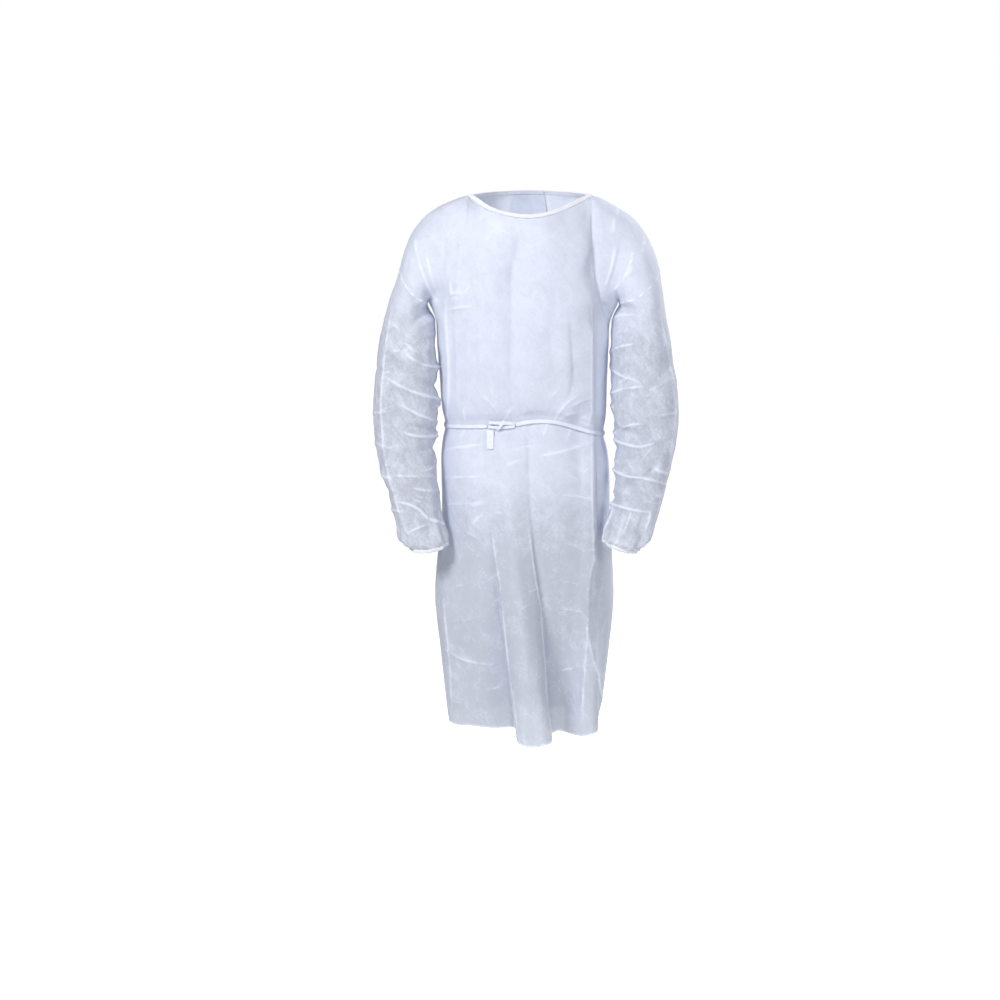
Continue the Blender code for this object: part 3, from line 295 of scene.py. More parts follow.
# Soft ridges and troughs of the CAD walls, drawn in the view they are seen in: from, to, half width, height.
CREASES = {
    "front": Table(
        "x0 z0 x1 z1 half out",
        (-0.156, -0.030, -0.174, -0.120, 0.022, -0.007),
        (-0.174, -0.120, -0.178, -0.185, 0.022, -0.007),
        (-0.226, -0.095, -0.205, -0.180, 0.020, 0.005),
        (-0.150, -0.160, -0.150, -0.400, 0.014, 0.005),
        (0.130, -0.040, 0.138, -0.150, 0.018, -0.008),
        (0.138, -0.150, 0.158, -0.235, 0.020, -0.008),
        (0.222, -0.110, 0.196, -0.180, 0.020, 0.005),
        (0.000, -0.090, -0.028, -0.170, 0.024, -0.006),
        (-0.028, -0.170, -0.030, -0.420, 0.022, -0.005),
        (-0.055, -0.060, -0.130, -0.180, 0.022, 0.004),
        (0.090, -0.240, 0.092, -0.410, 0.020, 0.005),
        (0.060, -0.440, 0.110, -0.390, 0.014, 0.004),
        (-0.152, -0.800, -0.138, -1.060, 0.020, 0.008),
        (-0.090, -0.560, -0.070, -1.067, 0.030, 0.006),
    ),
    "back": Table(
        "x0 z0 x1 z1 half out",
        (-0.150, -0.050, -0.165, -0.200, 0.018, -0.007),
        (0.150, -0.050, 0.165, -0.200, 0.018, -0.007),
        (-0.100, -0.480, -0.112, -1.067, 0.026, 0.012),
        (0.110, -0.480, 0.118, -1.067, 0.028, 0.014),
        (-0.105, -0.160, -0.090, -0.420, 0.022, 0.005),
        (0.115, -0.160, 0.095, -0.420, 0.022, 0.005),
    ),
    "sleeve_left": Table(
        "x0 z0 x1 z1 half out",
        (-0.180, -0.440, -0.290, -0.370, 0.014, 0.005),
        (-0.180, -0.470, -0.296, -0.455, 0.013, -0.005),
        (-0.176, -0.500, -0.285, -0.540, 0.013, 0.004),
        (-0.260, -0.590, -0.180, -0.620, 0.012, -0.004),
        (-0.200, -0.240, -0.270, -0.330, 0.016, -0.005),
    ),
    "sleeve_right": Table(
        "x0 z0 x1 z1 half out",
        (0.180, -0.440, 0.290, -0.375, 0.014, 0.005),
        (0.178, -0.545, 0.275, -0.575, 0.013, -0.005),
        (0.176, -0.500, 0.290, -0.505, 0.013, 0.004),
        (0.176, -0.620, 0.255, -0.635, 0.012, -0.004),
        (0.200, -0.240, 0.272, -0.330, 0.016, -0.005),
    ),
}


BOTH_WAYS = 0.004  # how far to each side a line's direction is taken
NECK_BOTH_WAYS = 0.006
SECTION_SAMPLES, NECK_SAMPLES, SHOULDER_SAMPLES = 160, 81, 61
CREASE_FACING = (0.1, 0.5)


def section_line(z, face):
    """The plan of one half of a section from the left side to the right: distance along it and points."""
    left, right = SECTIONS.read("left", z), SECTIONS.read("right", z)
    side, square = SECTIONS.read("side", z), SECTIONS.read("square", z)
    reach = -SECTIONS.read("front", z) - side if face == "front" else SECTIONS.read("back", z) - side
    turn = np.linspace(-math.pi / 2, math.pi / 2, SECTION_SAMPLES)
    x = np.sign(turn) * np.abs(np.sin(turn)) ** (2 / square)
    x = np.where(x < 0, x * left, x * right)
    y = side + reach * np.abs(np.cos(turn)) ** (2 / square)
    plan = np.column_stack([x, y])
    return running(np.linalg.norm(np.diff(plan, axis=0), axis=1)), plan


def on_line(along, plan, distance):
    """The point of a plan line at a distance along it, and the outward direction there."""
    point = np.array([np.interp(distance, along, plan[:, i]) for i in (0, 1)])
    ahead = np.array([np.interp(distance + BOTH_WAYS, along, plan[:, i]) for i in (0, 1)])
    behind = np.array([np.interp(distance - BOTH_WAYS, along, plan[:, i]) for i in (0, 1)])
    along_it = (ahead - behind) / np.linalg.norm(ahead - behind)
    outward = np.array([along_it[1], -along_it[0]])
    return point, outward if plan[len(plan) // 2, 1] < 0 else -outward


def belt_height(x, y):
    """The height of the waist tape's middle at a place round the body."""
    left, right = BELT_LINE.values[0], BELT_LINE.values[-1]
    if y < SECTIONS.read("side", BELT_Z):
        return BELT_LINE.read("z", float(np.clip(x, left[0], right[0])))
    return left[1] + (right[1] - left[1]) * (x - left[0]) / (right[0] - left[0])


def belt_shift(z, x, y):
    """How far a row near the waist moves up or down to follow the tape."""
    return (belt_height(x, y) - BELT_Z) * math.exp(-(((z - BELT_Z) / BELT_REACH) ** 2))


def fold_profile(step, box):
    """How far the cloth stands out across the middle fold, from 0 at its foot to 1 at its crest."""
    reach = min(abs(step), 1.0)
    dome = math.cos(reach * math.pi / 2) ** 2
    return (1 - box) * dome + box * (1 - ramp(BOX_SIDE, 1.0, reach))


def pleat_state(z):
    """How far the pleat stands out and how far it is folded at a level, each from 0 to 1."""
    state = ramp(*PLEAT_TOP, z) * ramp(*PLEAT_END, z)
    return min(1.0, 2 * state), max(0.0, 2 * state - 1)


def front_row(z):
    """One row of the front panel below the arms, from the left side seam to the right."""
    along, plan = section_line(z, "front")
    at_x = lambda x: float(np.interp(x, plan[:, 0], along))
    middle, half, rise, box = (MIDDLE_FOLD.read(name, z) for name in ("x", "half", "rise", "box"))
    edge = at_x(PLEAT_EDGE.read("x", z))
    out, folded = pleat_state(z)
    loose = ramp(*LOOSE_LEVELS, z)
    centre = at_x(middle)
    steps = [a + (b - a) * loose for a, b in zip(MIDDLE_STEPS, MIDDLE_LOOSE)]
    strip = at_x(LEFT_STRIP.read("x", z))
    neck = min(at_x(LEFT_NECK_X), centre + steps[0] * half - FOLD_ROOM)
    places = [(share * strip, 0.0) for share in LEFT_SHARES]
    places += [(strip + (neck - strip) * share, 0.0) for share in STRIP_SHARES]
    fold = [(centre + s * half, rise * fold_profile(s, box)) for s in steps]
    places.append(((places[-1][0] + fold[0][0]) / 2, 0.0))
    places += fold
    pleat = []
    wave = PLEAT_WAVE["rise"] * ramp(PLEAT_WAVE["start"], HEM_Z, z)
    for _, tucked, flat, out_tucked, out_flat in PLEAT.values:
        place = flat + (tucked - flat) * folded
        stands = out_flat + (out_tucked - out_flat) * folded
        crest = math.cos(min(abs(place / PLEAT_WAVE["half"]), 1.0) * math.pi / 2) ** 2
        pleat.append((edge + place, stands * out + wave * crest))
    start, end = fold[-1][0], pleat[0][0]
    places += [(start + (end - start) * i / BETWEEN_COLUMNS, 0.0) for i in range(1, BETWEEN_COLUMNS)]
    places += pleat
    start, end = pleat[-1][0], along[-1]
    places += [(start + (end - start) * share, 0.0) for share in RIGHT_SHARES]
    row = []
    for distance, lift in places:
        point, outward = on_line(along, plan, distance)
        x, y = point + outward * lift
        row.append((x, y, z + belt_shift(z, x, y)))
    return row


def back_row(z, side):
    """One row of a back panel below the arms, from its side seam past the middle of the back."""
    along, plan = section_line(z, "back")
    middle = float(np.interp(0.0, plan[:, 0], along))
    reach = middle if side == "left" else along[-1] - middle
    past = BACK_OVERLAP.read("past", z)
    ridge = LEFT_COLUMNS if side == "left" else RIGHT_COLUMNS
    columns = ridge + BACK_NECK_COLUMNS
    row = []
    for i in range(columns + 1):
        distance = (reach + past) * i / columns
        from_left = distance if side == "left" else along[-1] - distance
        point, outward = on_line(along, plan, from_left)
        near = 1 - ramp(past, past + OVERLAP_FADE, abs(reach - distance)) if distance < reach else 1.0
        lift = OVERLAP_LIFT * near * (0.5 if side == "right" else -0.5)
        x, y = point + outward * lift
        row.append((x, y, z + belt_shift(z, x, y)))
    return row


def neck_curve(table, share, drop):
    """A point of the neck edge, or of the binding's seam a drop below it, at a share of the way round."""
    samples = np.array([[table.read(n, s) for n in "xyz"] for s in np.linspace(0, 4, NECK_SAMPLES)])
    lengths = running(np.linalg.norm(np.diff(samples, axis=0), axis=1))
    at = lambda d: np.array([np.interp(d, lengths, samples[:, i]) for i in range(3)])
    distance = share * lengths[-1]
    point = at(distance)
    along_it = at(distance + NECK_BOTH_WAYS) - at(distance - NECK_BOTH_WAYS)
    outward = np.array([along_it[1], -along_it[0], 0.0])
    outward /= np.linalg.norm(outward)
    if table is NECK_BACK:
        outward = -outward
    at_shoulder = abs(2 * share - 1) ** 6
    outward = outward * (1 - at_shoulder) + np.array([math.copysign(1, share - 0.5), 0, 0]) * at_shoulder
    slope = NECK_SLOPE["round"] + (NECK_SLOPE["shoulder"] - NECK_SLOPE["round"]) * at_shoulder
    return point + drop * (outward * math.sqrt(1 - slope**2) - np.array([0, 0, slope]))


def shoulder_point(side, share):
    """A point of the shoulder line, from the binding (0) to the sleeve seam (1)."""
    table = SHOULDERS[side]
    samples = np.array([[table.read(n, s) for n in "xz"] for s in np.linspace(0, 6, SHOULDER_SAMPLES)])
    lengths = running(np.linalg.norm(np.diff(samples, axis=0), axis=1))
    x, z = (np.interp(share * lengths[-1], lengths, samples[:, i]) for i in (0, 1))
    start = neck_curve(NECK_FRONT, 0.0 if side == "left" else 1.0, BINDING_WIDTH)
    near = (1 - share) ** 4
    y = SHOULDER_BACK * ramp(0, 1, share)
    return np.array([x, y, z]) * (1 - near) + start * near


def sleeve_ring(side, step, columns):
    """One ring of a sleeve, from the armpit round the front to the outside and back."""
    table = SLEEVES[side]
    read = lambda name: table.read(name, step)
    inner = np.array([read("inner_x"), read("centre"), read("inner_z")])
    outer = np.array([read("outer_x"), read("centre"), read("outer_z")])
    ring = []
    for i in range(columns):
        turn = 2 * math.pi * i / columns
        across, deep = math.cos(turn), math.sin(turn)
        across = math.copysign(abs(across) ** (2 / SLEEVE_SQUARE), across)
        deep = math.copysign(abs(deep) ** (2 / SLEEVE_SQUARE), deep)
        gather = 1 + read("gather") / read("depth") * math.cos(GATHERS * turn)
        point = (inner + outer) / 2 + (inner - outer) / 2 * across * gather
        point = point + np.array([0, -read("depth") * deep * gather, -read("dip") * deep * abs(deep)])
        ring.append(point)
    return ring


def lofted(low, top, share, roll):
    """A point between the armpit row and the top row, rolling over towards the shoulder."""
    end = math.radians(roll)
    up = math.sin(end * share) / math.sin(end)
    over = (1 - math.cos(end * share)) / (1 - math.cos(end))
    point = np.array(low) * (1 - share) + np.array(top) * share
    point[1] = low[1] + (top[1] - low[1]) * over
    point[2] = low[2] + (top[2] - low[2]) * up
    return point


class Cloth:
    """The middle surface of the gown: shared points, and for each panel a grid of their numbers."""

    def __init__(self):
        self.points = []
        self.panels = {}

    def add(self, point):
        self.points.append(np.array(point, float))
        return len(self.points) - 1

    def normals(self):
        total = np.zeros((len(self.points), 3))
        places = np.array(self.points)
        for grid, flip, closed in self.panels.values():
            for a, b, c, d in quads(grid, flip, closed):
                normal = np.cross(places[c] - places[a], places[d] - places[b])
                for corner in (a, b, c, d):
                    total[corner] += normal
        return total / np.maximum(np.linalg.norm(total, axis=1), 1e-12)[:, None]


def quads(grid, flip, closed):
    """The four-sided faces of a grid of point numbers, facing out of the garment."""
    columns = len(grid[0])
    faces = []
    for lower, upper in zip(grid, grid[1:]):
        for i in range(columns if closed else columns - 1):
            j = (i + 1) % columns
            face = (lower[i], lower[j], upper[j], upper[i])
            faces.append(face[::-1] if flip else face)
    return faces


def cap_rows(low, tops, side_points, rolls, reach):
    """The rows above the armpits of one panel; side_points holds the sleeve seam at each end, or None."""
    rows = []
    count = len(low)
    for step in range(1, CAP_ROWS + 1):
        share = step / CAP_ROWS
        row = [lofted(low[i], tops[i], share, rolls[i]) for i in range(count)]
        for end, points in side_points.items():
            corner = 0 if end == "first" else count - 1
            pull = points[step] - row[corner]
            for i in range(reach[end] + 1):
                place = i if end == "first" else count - 1 - i
                row[place] = row[place] + pull * (1 - i / reach[end]) ** 2
        rows.append(row)
    return rows


def build_cloth():
    """The whole middle surface, with the seams' points shared between panels."""
    cloth = Cloth()
    armholes = {side: sleeve_ring(side, 0, 2 * CAP_ROWS) for side in ("left", "right")}
    low = [front_row(z) for z in BODY_ROWS]
    count = len(low[0])
    neck_first, neck_last = LEFT_COLUMNS - 1, count - 1 - RIGHT_COLUMNS
    armpit = low[-1]
    armpit[0], armpit[-1] = tuple(armholes["left"][0]), tuple(armholes["right"][0])
    tops, rolls = [], []
    for i in range(count):
        if i < neck_first:
            tops.append(shoulder_point("left", 1 - i / neck_first))
            rolls.append(ROLL["shoulder"])
        elif i > neck_last:
            tops.append(shoulder_point("right", (i - neck_last) / RIGHT_COLUMNS))
            rolls.append(ROLL["shoulder"])
        else:
            share = (armpit[i][0] - armpit[neck_first][0]) / (armpit[neck_last][0] - armpit[neck_first][0])
            tops.append(neck_curve(NECK_FRONT, share, BINDING_WIDTH))
            side_share = abs(2 * share - 1) ** 3
            rolls.append(ROLL["front_neck"] + (ROLL["shoulder"] - ROLL["front_neck"]) * side_share)
    seams = {
        "first": [armholes["left"][k] for k in range(CAP_ROWS + 1)],
        "last": [armholes["right"][k] for k in range(CAP_ROWS + 1)],
    }
    reach = {"first": neck_first, "last": RIGHT_COLUMNS}
    rows = low + cap_rows(armpit, tops, seams, rolls, reach)
    front = [[cloth.add(p) for p in row] for row in rows]
    cloth.panels["front_panel"] = (front, False, False)
    body = len(BODY_ROWS)
    for side in ("left", "right"):
        first = 0 if side == "left" else count - 1
        inward = 1 if side == "left" else -1
        ridge = neck_first if side == "left" else RIGHT_COLUMNS
        low_back = [back_row(z, side) for z in BODY_ROWS]
        armpit = low_back[-1]
        columns = len(armpit)
        armpit[0] = tuple(armholes[side][0])
        tops, rolls = [], []
        for i in range(columns):
            if i <= ridge:
                tops.append(cloth.points[front[-1][first + inward * i]])
                rolls.append(ROLL["shoulder"])
            else:
                part = (i - ridge) / (columns - 1 - ridge)
                past = 0.5 + BACK_OVERLAP.read("past", BACK_NECK_Z) / BACK_NECK
                share = part * past if side == "left" else 1 - part * past
                point = neck_curve(NECK_BACK, share, BINDING_WIDTH)
                lift = OVERLAP_LIFT * ramp(*OVERLAP_TOP, part) * (0.5 if side == "right" else -0.5)
                tops.append(point + np.array([0, lift, 0]))
                rolls.append(ROLL["shoulder"] + (ROLL["back_neck"] - ROLL["shoulder"]) * ramp(0, 1, part))
        seam = [armholes[side][-k] for k in range(CAP_ROWS + 1)]
        rows = low_back + cap_rows(armpit, tops, {"first": seam}, rolls, {"first": ridge})
        grid = []
        for r, row in enumerate(rows):
            line = []
            for i, point in enumerate(row):
                shared = i == 0 and (r < body or r == len(rows) - 1) or r == len(rows) - 1 and i <= ridge
                line.append(front[r][first + inward * i] if shared else cloth.add(point))
            grid.append(line)
        cloth.panels["back_panel_" + side] = (grid, side == "left", False)
    for side in ("left", "right"):
        add_sleeve(cloth, front, side, body)
    add_binding(cloth, front, neck_first, neck_last)
    return cloth


def add_sleeve(cloth, front, side, body):
    """A sleeve's grid: its first ring holds the armhole's points and one between each two of them."""
    back = cloth.panels["back_panel_" + side][0]
    edge = 0 if side == "left" else -1
    loop = [front[r][edge] for r in range(body - 1, len(front))]
    loop += [back[r][0] for r in range(len(back) - 2, body - 1, -1)]
    ring = []
    for here, following in zip(loop, loop[1:] + loop[:1]):
        ring += [here, cloth.add((cloth.points[here] + cloth.points[following]) / 2)]
    grid = [ring]
    last = int(SLEEVES[side].values[-1, 0])
    for step in range(1, last + 1):
        grid.append([cloth.add(p) for p in sleeve_ring(side, step, SLEEVE_COLUMNS)])
    cloth.panels["sleeve_" + side] = (grid, side == "right", True)
    end = sleeve_ring(side, last, SLEEVE_COLUMNS)
    before = sleeve_ring(side, last - 0.5, SLEEVE_COLUMNS)
    lower = []
    for i, point in enumerate(end):
        down = point - before[i]
        down = np.array([0, 0, -1.0]) + 0.1 * down / np.linalg.norm(down)
        lower.append(cloth.add(point + ELASTIC_WIDTH * down / np.linalg.norm(down)))
    cloth.panels["cuff_elastic_" + side] = ([grid[-1], lower], side == "right", True)


def add_binding(cloth, front, neck_first, neck_last):
    """The neck binding's grid, from the left back's edge round the front to the right back's."""
    left, right = (cloth.panels["back_panel_" + side][0][-1] for side in ("left", "right"))
    seam = left[:neck_first:-1] + front[-1][neck_first : neck_last + 1] + right[RIGHT_COLUMNS + 1 :]
    edge = []
    for i in seam:
        point = cloth.points[i]
        inward = np.array([*NECK_CENTRE, 0]) - point * np.array([1, 1, 0])
        inward /= np.linalg.norm(inward)
        at_shoulder = math.exp(-((point[1] / 0.02) ** 2))
        rise = NECK_SLOPE["round"] + (NECK_SLOPE["shoulder"] - NECK_SLOPE["round"]) * at_shoulder
        edge.append(cloth.add(point + BINDING_WIDTH * (inward * math.sqrt(1 - rise**2) + (0, 0, rise))))
    cloth.panels["neck_binding"] = ([seam, edge], False, False)


def crease_height(table, point):
    """How far the named creases push a point out, seen in the X-Z view."""
    height = 0.0
    here = np.array([point[0], point[2]])
    for x0, z0, x1, z1, half, out in table.values:
        start, line = np.array([x0, z0]), np.array([x1 - x0, z1 - z0])
        share = float(np.clip(np.dot(here - start, line) / np.dot(line, line), 0, 1))
        away = float(np.linalg.norm(here - start - share * line))
        height += out * math.exp(-((away / half) ** 2))
    return height


def crease(cloth):
    """Pushes the surface out or in along the creases of each face, the seams' points once."""
    normals = cloth.normals()
    moved = {}
    for name, (grid, _, _) in cloth.panels.items():
        face = "back" if name.startswith("back") else "front" if name == "front_panel" else name
        if face not in CREASES:
            continue
        for row in grid:
            for i in row:
                share = ramp(*CREASE_FACING, abs(normals[i][1]))
                moved.setdefault(i, share * crease_height(CREASES[face], cloth.points[i]))
    for i, height in moved.items():
        cloth.points[i] = cloth.points[i] + normals[i] * height
    for side in ("left", "right"):
        ring = cloth.panels["sleeve_" + side][0][0]
        for i in range(1, len(ring), 2):
            before, after = ring[i - 1], ring[(i + 1) % len(ring)]
            cloth.points[ring[i]] = (cloth.points[before] + cloth.points[after]) / 2


# ------------------------------------------------------------------ the camera, and the view it gives
CAMERA = {"x": -0.05, "y": -3.5, "z": -0.18, "pitch": 7.0, "lens": 63.0, "sensor": 36.0}
PICTURE_WIDTH = 2.0  # metres across the whole picture, on the plane of the shoulders
NECK_IN_PICTURE = (0.525, 0.193)
MM = 0.001


def seen(points):
    """Where points appear in the camera's picture, in metres right of and above the neck point."""
    pitch = math.radians(CAMERA["pitch"])
    away, up = points[..., 1] - CAMERA["y"], points[..., 2] - CAMERA["z"]
    depth = away * math.cos(pitch) - up * math.sin(pitch)
    height = away * math.sin(pitch) + up * math.cos(pitch)
    zoom = CAMERA["lens"] / CAMERA["sensor"] / depth
    across = 0.5 + (points[..., 0] - CAMERA["x"]) * zoom
    down = 0.5 - height * zoom
    return np.stack([across - NECK_IN_PICTURE[0], NECK_IN_PICTURE[1] - down], axis=-1) * PICTURE_WIDTH


def flat_view(points):
    """The same plane looked at square on, for the creases of the back."""
    return points[..., [0, 2]]


# ------------------------------------------------------------------ fine grids
STEP = {"front": 0.0026, "back": 0.003, "sleeve": 0.0024}  # the spacing of the shells' points
WRAP = 3  # columns repeated past each end of a closed grid, so that its curves run on smoothly
TINY = 1e-9


def hermite(values, keys, places):
    """Smooth curves through rows of values (along the first axis), read at new places."""
    slopes = np.gradient(values, keys, axis=0)
    i = np.clip(np.searchsorted(keys, places) - 1, 0, len(keys) - 2)
    step = (keys[i + 1] - keys[i])[:, None, None]
    t = np.clip((places - keys[i]) / (keys[i + 1] - keys[i]), 0.0, 1.0)[:, None, None]
    low, high = values[i], values[i + 1]
    rise = low * (1 + 2 * t) * (1 - t) ** 2 + high * t * t * (3 - 2 * t)
    return rise + step * (slopes[i] * t * (1 - t) ** 2 + slopes[i + 1] * t * t * (t - 1))


def finer_keys(lengths, step):
    """Keys at the coarse stops and the places between them, so that every coarse stop is kept."""
    keys = running(lengths)
    places = []
    for a, b in zip(keys, keys[1:]):
        parts = max(1, int(round((b - a) / step)))
        places += [a + (b - a) * k / parts for k in range(parts)]
    return keys, np.array(places + [keys[-1]])


def mean_gaps(points, axis):
    """The mean distance from each row or column of a grid to the next."""
    return np.linalg.norm(np.diff(points, axis=axis), axis=2).mean(axis=1 - axis)


def finer(points, step, closed=False, row_gaps=None):
    """A fine grid of points through a coarse one; a closed grid runs round on its second axis."""
    keys, places = finer_keys(mean_gaps(points, 0) if row_gaps is None else row_gaps, step)
    points = hermite(points, keys, places)
    count = points.shape[1]
    if closed:
        points = np.concatenate([points[:, -WRAP:], points, points[:, : WRAP + 1]], axis=1)
    keys, places = finer_keys(mean_gaps(points, 1), step)
    if closed:
        places = places[(places >= keys[WRAP] - TINY) & (places < keys[WRAP + count] - TINY)]
    return hermite(points.transpose(1, 0, 2), keys, places).transpose(1, 0, 2)


def grid_normals(points, closed, flip):
    """The outward normals of a fine grid."""
    if closed:
        wrapped = np.concatenate([points[:, -1:], points, points[:, :1]], axis=1)
        across = wrapped[:, 2:] - wrapped[:, :-2]
    else:
        across = np.gradient(points, axis=1)
    normals = np.cross(across, np.gradient(points, axis=0))
    if flip:
        normals = -normals
    return normals / np.maximum(np.linalg.norm(normals, axis=2), 1e-12)[:, :, None]


def from_first_row(points):
    """How far each point of a grid lies from its first row, along its column."""
    down = np.linalg.norm(np.diff(points, axis=0), axis=2)
    return np.concatenate([np.zeros((1, points.shape[1])), np.cumsum(down, axis=0)])


def soft(start, end, values):
    """0 at the start, 1 at the end, with soft ends, for arrays."""
    t = np.clip((values - start) / (end - start), 0.0, 1.0)
    return t * t * (3 - 2 * t)


# ------------------------------------------------------------------ creases
# Each row is a ridge (out above 0) or a trough, in millimetres, drawn in the view: its ends, how far its
# middle bends to the left of its run, its half width, how much narrower its right side is, its height, and
# how much of the height is left at its start and its end.
COLUMNS = "x0 z0 x1 z1 bend wide steep out start end"

